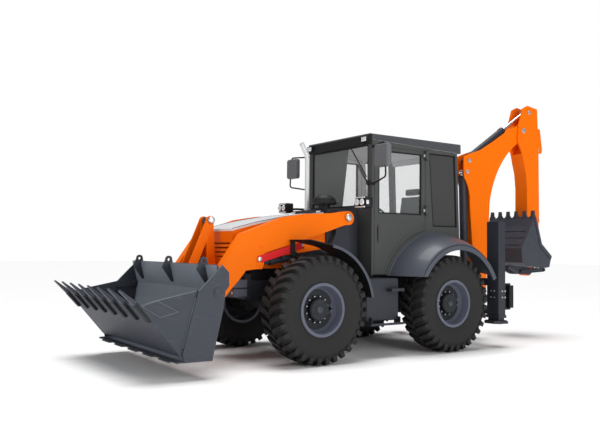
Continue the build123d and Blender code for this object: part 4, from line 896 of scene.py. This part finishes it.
        # painted highlight: bright beads along the bucket's rims and the clam's plate edges
        edges = (
            ("bucket_rim_painted_highlight", Paint.EDGE_HIGHLIGHT, "bucket", self.back_face, self.back_edge),
            ("clam_rim_painted_highlight", Paint.EDGE_HIGHLIGHT, "clam", self.front_face, self.front_edge),
            ("clam_plate_edge_highlights", Paint.EDGE_SHADE_AND_HIGHLIGHT, "clam", self.kite_face, self.kite),
        )
        for name, paint, body, face, line in edges:
            solid = bmesh.new()
            add_beads(solid, face, line, self.edge_bead_radius)
            self.workshop.finish(solid, name, paint, body)


@dataclass
class CabDress:
    """Seals, a dark sheet of painted reflection behind the windscreen, handles, hinge plates,
    wiper and lamp lenses of the cab.

    Offsets that start with the glass, seal or film are from the front or the side of the cab.
    """

    workshop: Workshop
    front: float = -1.1
    half: float = 0.72
    seal: float = 0.018
    screen_seal: Pair = (0.0178, 0.012)
    """How deep the windscreen's seal starts behind the cab's front, and its thickness."""
    quarter_seal: Pair = (0.0178, 0.015)
    door_seal: Pair = (0.0198, 0.0175)
    screen: Line = ((-0.6395, 1.9905), (0.6395, 1.9905), (0.6395, 2.8245), (-0.6395, 2.8245))
    """Y and Z of the windscreen's corners."""
    quarter: Line = ((-2.2455, 1.7355), (-2.1655, 2.7895), (-2.7025, 2.7895), (-2.7445, 1.7355))
    """X and Z of a quarter window's corners."""
    door_window: Line = (
        (-1.2205, 1.8905), (-1.2205, 2.7545), (-2.0195, 2.7545), (-2.0195, 1.8905),
    )
    # painted reflection: Y and Z of the corners of a dark sheet behind the windscreen
    reflection_sheet: Line = ((0.055, 1.998), (0.19, 2.82), (-0.63, 2.82), (-0.63, 1.998))
    reflection_sheet_depth: float = 0.0262
    reflection_sheet_thickness: float = 0.001
    handle: tuple[Point, Point, float] = ((-1.2215, 0.7045, 1.54), (-1.2045, 0.722, 1.70), 0.004)
    hinges: Pair = (1.96, 2.74)
    hinge_plate: tuple[Point, Point] = ((-2.078, 0.7405, -0.02), (-2.046, 0.7435, 0.02))
    """Corners of a hinge plate on the left side, its heights from the hinge."""
    plate_screws: Pair = (-2.07, -2.054)
    plate_screw_y: float = 0.7436
    plate_screw: Hardware = Hardware(0.006, 0.005, 6, 0.001)
    hinge_pin: tuple[float, float, float] = (-2.09, 0.752, 0.0563)
    """X and Y of a hinge pin on the left side, and its half length."""
    hinge_pin_head: Hardware = Hardware(0.0165, 0.01, 20, 0.004)
    wiper_motor: Hardware = Hardware(0.035, 0.028, 24, 0.008)
    wiper_pivot: Point = (0.0003, 0.665, 2.30)
    arm_stand: Pair = (0.02, 0.006)
    """How far the arm stands ahead of the cab's front at its pivot and at its blade."""
    wiper_arms: tuple[tuple[float, float, float, float], ...] = (
        (0.665, 0.44, 2.56, 0.007), (0.650, 0.43, 2.53, 0.004),
    )
    """Y at the pivot, Y and Z at the blade, and radius of both rods of the wiper's arm."""
    wiper_blade: Line = ((0.60, 2.39), (0.275, 2.80))
    blade_rods: tuple[tuple[float, float, int], ...] = ((0.006, 0.008, 8), (0.012, 0.005, 6))
    """Depth behind the cab's front, radius and sides of the blade's two rods."""
    head_lens: Hardware = Hardware(0.041, 0.014, 32, 0.009)
    head_lenses: Pair = (0.862, 0.962)
    head_lens_place: Pair = (-0.7278, 2.01)
    lens_bars: tuple[tuple[Point, Point, float], ...] = (
        ((-0.7448, 0.818, 1.941), (-0.7268, 1.006, 1.9575), 0.005),
        ((-0.7448, 0.818, 2.0625), (-0.7268, 1.006, 2.079), 0.005),
        ((-0.80, 1.0128, 1.985), (-0.76, 1.0158, 2.035), 0.001),
        ((-1.0285, 0.584, 2.862), (-1.0225, 0.680, 2.922), 0.003),
    )
    """Corners and rounding: the headlamp's two bright rims, side marker and roof lamp."""

    def build(self) -> None:
        """Make the cab's details."""
        self.seal_windows()
        self.add_screen_reflection()
        self.fit_doors()
        self.fit_wiper()
        self.fit_lenses()

    def seal_windows(self) -> None:
        """Make the rubber seals of the windscreen and of the quarter windows."""
        solid = bmesh.new()
        depth, thickness = self.screen_seal
        corners = [at(self.front - depth, y, z) for y, z in self.screen]
        add_frame(solid, corners, self.seal, (thickness, 0.0, 0.0))
        depth, thickness = self.quarter_seal
        for _, sign in SIDES:
            corners = [at(x, sign * (self.half - depth), z) for x, z in self.quarter]
            add_frame(solid, corners, self.seal, (0.0, sign * thickness, 0.0))
        self.workshop.finish(solid, "window_seals", Paint.SEAL_AND_SHADE, "chassis")

    def add_screen_reflection(self) -> None:
        """Make the dark sheet behind the right part of the windscreen: painted reflection."""
        solid = bmesh.new()
        x = self.front - self.reflection_sheet_depth
        sheet = solid.faces.new([solid.verts.new(at(x, y, z)) for y, z in self.reflection_sheet])
        back = new_verts(bmesh.ops.extrude_face_region(solid, geom=[sheet]))
        bmesh.ops.translate(solid, verts=back, vec=(-self.reflection_sheet_thickness, 0.0, 0.0))
        self.workshop.finish(solid, "windscreen_painted_reflection", Paint.SMOKED_AND_REFLECTION, "chassis")

    def fit_doors(self) -> None:
        """Make the doors' seals, handles and hinge plates."""
        depth, thickness = self.door_seal
        for side, sign in SIDES:
            door = f"door_{side}"
            seals = bmesh.new()
            corners = [at(x, sign * (self.half - depth), z) for x, z in self.door_window]
            add_frame(seals, corners, self.seal, (0.0, sign * thickness, 0.0))
            self.workshop.finish(seals, f"door_seal_{side}", Paint.SEAL_AND_SHADE, door)
            handle = bmesh.new()
            add_side_block(handle, sign, *self.handle)
            self.workshop.finish(handle, f"door_handle_{side}", Paint.PLASTIC, door)
            plates = bmesh.new()
            pins = bmesh.new()
            for level in self.hinges:
                self.add_hinge(plates, pins, sign, level)
            self.workshop.finish(plates, f"hinge_plates_{side}", Paint.ZINC, door)
            self.workshop.finish(pins, f"hinge_pin_heads_{side}", Paint.PLASTIC, "chassis")

    def add_hinge(self, plates: Solid, pins: Solid, sign: float, level: float) -> None:
        """Add a hinge's plate with its screws and its pin's two heads.

        Args:
            plates: The bmesh of the plates, which ride on the door.
            pins: The bmesh of the pins, which stay on the cab.
            sign: 1 for the left side, -1 for the right one.
            level: The hinge's height.
        """
        low, high = ((x, y, level + dz) for x, y, dz in self.hinge_plate)
        add_side_block(plates, sign, low, high, bevel=0.001)
        for x in self.plate_screws:
            place = at(x, sign * self.plate_screw_y, level)
            self.plate_screw.add(plates, place, (0.0, sign, 0.0))
        x, y, half = self.hinge_pin
        for way in (1.0, -1.0):
            place = at(x, sign * y, level + way * half)
            self.hinge_pin_head.add(pins, place, (0.0, 0.0, way))

    def fit_wiper(self) -> None:
        """Make the wiper with its motor cover, arm and blade."""
        solid = bmesh.new()
        x, y, z = self.wiper_pivot
        self.wiper_motor.add(solid, at(self.front + x, y, z), (1.0, 0.0, 0.0))
        near, far = (self.front + stand for stand in self.arm_stand)
        for start_y, end_y, end_z, radius in self.wiper_arms:
            add_rod(solid, at(near, start_y, z), at(far, end_y, end_z), radius)
        for depth, radius, sides in self.blade_rods:
            low, high = (at(self.front - depth, y, z) for y, z in self.wiper_blade)
            add_rod(solid, low, high, radius, sides)
        self.workshop.finish(solid, "wiper", Paint.PLASTIC, "chassis")

    def fit_lenses(self) -> None:
        """Make the lenses and bright rims of the headlamps and of the roof lamps."""
        solid = bmesh.new()
        x, z = self.head_lens_place
        for _, sign in SIDES:
            for y in self.head_lenses:
                self.head_lens.add(solid, at(x, sign * y, z), (1.0, 0.0, 0.0))
            for low, high, bevel in self.lens_bars:
                add_side_block(solid, sign, low, high, bevel)
        self.workshop.finish(solid, "lamp_lenses", Paint.LENS, "chassis")


@dataclass
class FenderTrim:
    """Strips on the fenders: dark ones in the rear fenders' creases are painted shade, grey ones
    along the front mudguards' edges are painted highlight.
    """

    workshop: Workshop
    rear_centre_x: float = REAR_X - 0.047
    # painted shade: a dark strip of this section lies in each rear fender's crease
    crease: Line = ((0.8045, 1.205), (0.812, 1.2125), (0.8045, 1.2165), (0.799, 1.214))
    crease_arc: tuple[int, float, float] = (64, 29.0, 125.0)
    # painted highlight: a grey strip of this section runs along each front mudguard's edge
    lip: Line = ((0.766, 1.1302), (0.8015, 1.1302), (0.8015, 1.135), (0.766, 1.135))
    lip_arc: tuple[int, float, float] = (48, 100.0, 70.5)
    """Steps, first angle and turn of an arc; sections are radius and place along Y."""

    def build(self) -> None:
        """Make both kinds of strip."""
        strips = (
            ("fender_crease_painted_shade", Paint.SEAL_AND_SHADE, self.rear_centre_x, self.crease, self.crease_arc),
            ("mudguard_edge_painted_highlight", Paint.FENDER_AND_HIGHLIGHT, 0.0, self.lip, self.lip_arc),
        )
        for name, paint, x, section, arc in strips:
            solid = bmesh.new()
            for _, sign in SIDES:
                ring = [(r, sign * y) for r, y in section + section[:1]]
                add_lathe(solid, at(x, 0.0, WHEEL_RADIUS), ring, *arc)
            self.workshop.finish(solid, name, paint, "chassis")


@dataclass
class RearDress:
    """Pin caps of the backhoe and bolts of the stabiliser posts."""

    workshop: Workshop
    hoe_y: float = 0.2
    kingpost_x: float = -3.6
    cap_height: float = 0.012
    pins: tuple[tuple[str, str, float, float, float, float], ...] = (
        ("boom_pin_caps", "boom", 0.166, 0.1033, 2.646, 0.034),
        ("boom_ram_pin_caps", "boom", 0.117, 0.1033, 2.824, 0.034),
        ("boom_foot_caps", "kingpost", -0.190, 0.1353, 0.640, 0.042),
        ("dipper_pivot_caps", "dipper", -1.187, 0.1273, 3.431, 0.044),
        ("dipper_tail_caps", "dipper", -1.331, 0.1273, 3.753, 0.036),
        ("hoe_ram_pin_caps", "dipper", -1.636, 0.0753, 3.150, 0.03),
        ("tipper_pin_caps", "dipper", -1.460, 0.1093, 1.430, 0.028),
        ("nose_pin_caps", "hoe_bucket", -1.355, 0.1073, 1.063, 0.034),
    )
    """Name, body, X from the kingpost, Y from the backhoe's middle plane, Z and cap radius."""
    bolt_levels: Pair = (0.725, 0.815)
    side_bolts: Pair = (-3.275, -3.215)
    side_face: float = 1.1502
    side_bolt: Hardware = Hardware(0.013, 0.012, 6, 0.002)
    front_bolts: Pair = (1.01, 1.07)
    front_face: float = -3.1448
    front_bolt: Hardware = Hardware(0.013, 0.01, 6, 0.002)

    def build(self) -> None:
        """Make the backhoe's details."""
        for name, body, x, y, z, radius in self.pins:
            cap = Hardware(radius, self.cap_height, sides=28, bevel=0.005)
            solid = bmesh.new()
            for _, sign in SIDES:
                place = at(self.kingpost_x + x, self.hoe_y + sign * y, z)
                cap.add(solid, place, (0.0, sign, 0.0))
            self.workshop.finish(solid, name, Paint.ZINC, body)
        bolts = bmesh.new()
        for _, sign in SIDES:
            for x in self.side_bolts:
                for z in self.bolt_levels:
                    self.side_bolt.add(bolts, at(x, sign * self.side_face, z), (0.0, sign, 0.0))
            for y in self.front_bolts:
                for z in self.bolt_levels:
                    self.front_bolt.add(bolts, at(self.front_face, sign * y, z), (1.0, 0.0, 0.0))
        self.workshop.finish(bolts, "post_bolts", Paint.ZINC, "chassis")


@dataclass
class DriverSeat:
    """Seat with stuffed cushions, in place of the plain CAD seat."""

    workshop: Workshop
    middle_x: float = REAR_X - 0.137
    plinth: tuple[Point, Point, float] = ((-0.138, -0.198, 1.3405), (0.138, 0.198, 1.380), 0.008)
    column: tuple[Point, Point, float] = ((-0.095, -0.135, 1.375), (0.095, 0.135, 1.56), 0.02)
    pan: tuple[Point, Point, float] = ((-0.138, -0.208, 1.70), (0.255, 0.208, 1.752), 0.015)
    """Corners of each block, X from the seat's middle, and its rounding."""
    bellows: int = 5
    bellows_foot: float = 1.56
    bellows_pitch: float = 0.03
    bellows_half: Pair = (0.105, 0.145)
    bellows_gap: float = 0.002
    pads: tuple[tuple[str, Point, Point, float], ...] = (
        ("seat_cushion", (0.08, 0.0, 1.803), (0.41, 0.455, 0.085), 0.0),
        ("seat_backrest", (-0.124, 0.0, 2.025), (0.085, 0.435, 0.40), -10.0),
        ("seat_headrest", (-0.172, 0.0, 2.287), (0.072, 0.29, 0.098), -5.0),
    )
    """Name, middle with X from the seat's middle, size before it swells and lean in degrees."""
    rounding: float = 0.35
    """Rounding of a pad as a share of its thickness."""
    voxel: float = 0.006
    pressure: float = 4.0
    frames: int = 20
    swell: float = 0.012

    def build(self) -> None:
        """Make the pedestal and the three pads."""
        base = bmesh.new()
        self.add_part(base, *self.plinth)
        self.add_part(base, *self.column)
        x, y = self.bellows_half
        for n in range(self.bellows):
            z = self.bellows_foot + n * self.bellows_pitch
            low = (-x, -y, z + self.bellows_gap)
            high = (x, y, z + self.bellows_pitch - self.bellows_gap)
            self.add_part(base, low, high, bevel=0.012)
        self.add_part(base, *self.pan)
        self.workshop.finish(base, "seat_base", Paint.PLASTIC, "chassis", "seat")
        for name, middle, size, lean in self.pads:
            self.make_pad(name, middle, size, lean)

    def add_part(self, solid: Solid, low: Point, high: Point, bevel: float) -> None:
        """Add a block of the pedestal, given from the seat's middle."""
        x = self.middle_x
        add_block(solid, at(x + low[0], *low[1:]), at(x + high[0], *high[1:]), bevel)

    def make_pad(self, name: str, middle: Point, size: Point, lean: float) -> None:
        """Make one stuffed pad.

        Args:
            name: The pad's name.
            middle: Its middle, with X from the seat's middle.
            size: Its size before it swells.
            lean: How far it leans, in degrees.
        """
        solid = bmesh.new()
        made = bmesh.ops.create_cube(solid, size=1.0, matrix=Matrix.Diagonal((*size, 1.0)))
        edges = {e for v in made["verts"] for e in v.link_edges}
        bevel_edges(solid, edges, min(size) * self.rounding, steps=3)
        place = at(self.middle_x + middle[0], *middle[1:])
        turn = Matrix.Rotation(math.radians(lean), 4, "Y")
        bmesh.ops.transform(solid, matrix=Matrix.Translation(place) @ turn, verts=solid.verts)
        pad = self.workshop.finish(solid, name, Paint.FABRIC, "chassis", "seat", angle=60.0)
        self.stuff(pad)

    def stuff(self, pad: bpy.types.Object) -> None:
        """Swell a pad with a cloth simulation and keep the result.

        Args:
            pad: The pad.
        """
        remesh = pad.modifiers.new("even_mesh", "REMESH")
        remesh.mode = "VOXEL"
        remesh.voxel_size = self.voxel
        self.bake(pad)
        rest = [v.co.copy() for v in pad.data.vertices]
        cloth = pad.modifiers.new("stuffing", "CLOTH")
        cloth.settings.use_pressure = True
        cloth.settings.uniform_pressure_force = self.pressure
        cloth.settings.effector_weights.gravity = 0.0
        for step in range(1, self.frames + 1):
            bpy.context.scene.frame_set(step)
        self.bake(pad)
        bpy.context.scene.frame_set(1)
        for v, start in zip(pad.data.vertices, rest):
            move = v.co - start
            if move.length > self.swell:
                v.co = start + move.normalized() * self.swell
        pad.modifiers.new("finer_mesh", "SUBSURF").levels = 1
        self.bake(pad)
        for face in pad.data.polygons:
            face.use_smooth = True

    def bake(self, pad: bpy.types.Object) -> None:
        """Write the mesh that a pad's modifiers give and remove them.

        Args:
            pad: The pad.
        """
        graph = bpy.context.evaluated_depsgraph_get()
        mesh = bpy.data.meshes.new_from_object(pad.evaluated_get(graph))
        pad.modifiers.clear()
        pad.data = mesh


@dataclass
class Studio:
    """Floor, backdrop, lights and the camera of the photo."""

    palette: Palette
    camera_place: Point = (5.0803 + AXLE_X, 7.9177, 1.4028)
    view: Point = (-0.555687, -0.830456, 0.039426)
    right: Point = (-0.830840, 0.556421, 0.010043)
    up: Point = (0.030278, 0.027176, 0.999172)
    sensor: float = 36.0
    lens: float = 42.1585
    shift: Pair = (0.02148, 0.001285)
    floor_half: float = 60.0
    ambient: float = 0.25
    overhead_from: Point = (0.0, -0.12, 1.3)
    overhead_strength: float = 2.55
    overhead_angle: float = 36.0
    lamps: tuple[tuple[str, Point, float, float], ...] = (
        ("side_softbox", (0.0, 11.0, 4.0), 7.0, 540.0),
        ("nose_softbox", (11.0, 2.0, 4.5), 5.0, 180.0),
    )
    """Name, place, width and power of each soft lamp."""
    lamp_aim: Point = (0.0, 0.0, 1.2)

    def build(self) -> None:
        """Make everything that isn't the object."""
        self.make_camera()
        self.make_floor()
        self.make_world()
        self.make_lights()

    def make_camera(self) -> None:
        """Place the camera at the photo's view."""
        data = bpy.data.cameras.new("photo_camera")
        data.sensor_width = self.sensor
        data.lens = self.lens
        data.shift_x, data.shift_y = self.shift
        camera = add_object("photo_camera", data)
        rows = Matrix((self.right, self.up, tuple(-c for c in self.view))).transposed()
        camera.matrix_world = Matrix.Translation(self.camera_place) @ rows.to_4x4()
        bpy.context.scene.camera = camera

    def make_floor(self) -> None:
        """Lay a wide plain white floor."""
        mesh = bpy.data.meshes.new("studio_floor")
        solid = bmesh.new()
        bmesh.ops.create_grid(solid, x_segments=1, y_segments=1, size=self.floor_half)
        solid.to_mesh(mesh)
        solid.free()
        floor = add_object("studio_floor", mesh)
        self.palette.apply(floor, Paint.FLOOR)

    def make_world(self) -> None:
        """Show white behind the machine and light it a little from all round."""
        bpy.context.scene.view_settings.view_transform = "Standard"
        world = bpy.data.worlds.new("white_surround")
        world.use_nodes = True
        tree = world.node_tree
        background = tree.nodes["Background"]
        background.inputs["Color"].default_value = srgb("FFFFFF")
        path = add_node(tree, "ShaderNodeLightPath")
        level = add_node(tree, "ShaderNodeMapRange", To_Min=self.ambient, To_Max=1.0)
        tree.links.new(path.outputs["Is Camera Ray"], level.inputs["Value"])
        tree.links.new(level.outputs["Result"], background.inputs["Strength"])
        bpy.context.scene.world = world

    def make_lights(self) -> None:
        """Hang one broad overhead lamp and two large soft lamps."""
        broad = bpy.data.lights.new("overhead_light", "SUN")
        broad.energy = self.overhead_strength
        broad.angle = math.radians(self.overhead_angle)
        overhead = add_object("overhead_light", broad)
        overhead.rotation_euler = Vector(self.overhead_from).to_track_quat("Z", "Y").to_euler()
        for name, place, size, power in self.lamps:
            data = bpy.data.lights.new(name, "AREA")
            data.size = size
            data.energy = power
            lamp = add_object(name, data)
            lamp.location = place
            direction = Vector(self.lamp_aim) - Vector(place)
            lamp.rotation_euler = direction.to_track_quat("-Z", "Y").to_euler()


def in_cab_painted_reflection(place: Vector) -> bool:
    """Say whether a face's middle lies on the upper inside of the cab, whose near-white lining is
    partly painted reflection.
    """
    return abs(place.y) < 0.6805 and -2.715 < place.x < -1.139 and 1.9 < place.z < 2.91


def on_visor(place: Vector) -> bool:
    """Say whether a face's middle lies on the lower part of the roof's front."""
    return place.x > -1.105 and place.z < 2.945


def on_intake(place: Vector) -> bool:
    """Say whether a face's middle lies on the air intake beside the exhaust."""
    return place.y > 0.03


def on_left_quarter(place: Vector) -> bool:
    """Say whether a face's middle lies on the left quarter window."""
    return place.x < -2.12 and place.y > 0.66


def on_hub_painted_shade(place: Vector) -> bool:
    """Say whether a face's middle lies on the hub, inside the disc of either wheel, which is
    painted dark as painted shade.
    """
    return any(math.hypot(place.x - x, place.z - WHEEL_RADIUS) < 0.225 for _, x in AXLES)


def on_cover_rim(place: Vector) -> bool:
    """Say whether a face's middle lies on the rim along the top of the cover's sides."""
    return 0.3815 < abs(place.y) < 0.4035 and place.z > 1.645


def on_adapter(place: Vector) -> bool:
    """Say whether a face's middle lies on a tooth adapter, under the slanted front plate."""
    return 2.205 < place.x < 2.405 and place.z < 0.258 + (place.x - 1.895) * 1.17


BACK_PLATE = ((1.500, 1.215), (1.430, 0.936), (1.450, 0.749), (1.545, 0.240))
"""X and Z of the corners along the inner side of the bucket's back plate, from its top."""


def on_back_plate_painted_light(place: Vector) -> bool:
    """Say whether a face lies on the inner side of the bucket's back plate, which is painted
    lighter as painted light.

    Args:
        place: The face's middle, from the front axle.

    Returns:
        True within a few millimetres of the plate's line.
    """
    if abs(place.y) >= 1.19:
        return False
    for (x1, high), (x0, low) in zip(BACK_PLATE, BACK_PLATE[1:]):
        if low <= place.z <= high:
            line = x0 + (x1 - x0) * (place.z - low) / (high - low)
            return abs(place.x - line) < 0.008
    return False


def on_mirror_head(place: Vector) -> bool:
    """Say whether a face's middle lies on a mirror's housing."""
    return -1.05 < place.x < -0.97 and 0.895 < abs(place.y) < 1.17 and 2.475 < place.z < 2.785


def paint_nodes(palette: Palette) -> None:
    """Paint the CAD nodes, some of them in two finishes.

    Args:
        palette: Where the materials come from.
    """
    for name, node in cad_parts.items():
        palette.apply(node, NODE_PAINT[name])
        shade(node)
    palette.apply_where("cab_roof", Paint.PLASTIC, on_visor)
    palette.apply_where("exhaust", Paint.PLASTIC, on_intake)
    palette.apply_where("cab_glass", Paint.SMOKED_AND_REFLECTION, on_left_quarter)
    for wheel, _, _ in WHEELS:
        # painted shade: the hubs, deep in the wheels, get the dark cast-iron finish in place of
        # their shadow
        palette.apply_where(f"rim_{wheel}", Paint.CAST_AND_SHADE, on_hub_painted_shade)
    palette.apply_where("cowl", Paint.LIGHT, on_cover_rim)
    palette.apply_where("clam", Paint.CAST_AND_SHADE, on_adapter)
    # painted light: the inside of the bucket's back plate is painted lighter where light falls in
    palette.apply_where("bucket", Paint.RUBBED_AND_LIT, on_back_plate_painted_light)
    palette.apply_where("mirrors", Paint.SHELL, on_mirror_head)
    # painted reflection: the upper inside of the cab is painted near white, as the windows would
    # show the white surroundings
    for name in ("cab_frame", "door_left", "door_right", "cab_roof"):
        palette.apply_where(name, Paint.LINING_AND_REFLECTION, in_cab_painted_reflection)


def main() -> None:
    """Paint the frame, add the pieces and set up the studio."""
    logging.basicConfig(level=logging.INFO, format="%(message)s")
    palette = Palette()
    workshop = Workshop(palette)
    paint_nodes(palette)
    Studio(palette).build()
    Tyres(workshop).build()
    WheelNuts(workshop).build()
    LoaderDress(workshop).build()
    CabDress(workshop).build()
    FenderTrim(workshop).build()
    RearDress(workshop).build()
    DriverSeat(workshop).build()


if __name__ == "__main__":
    main()
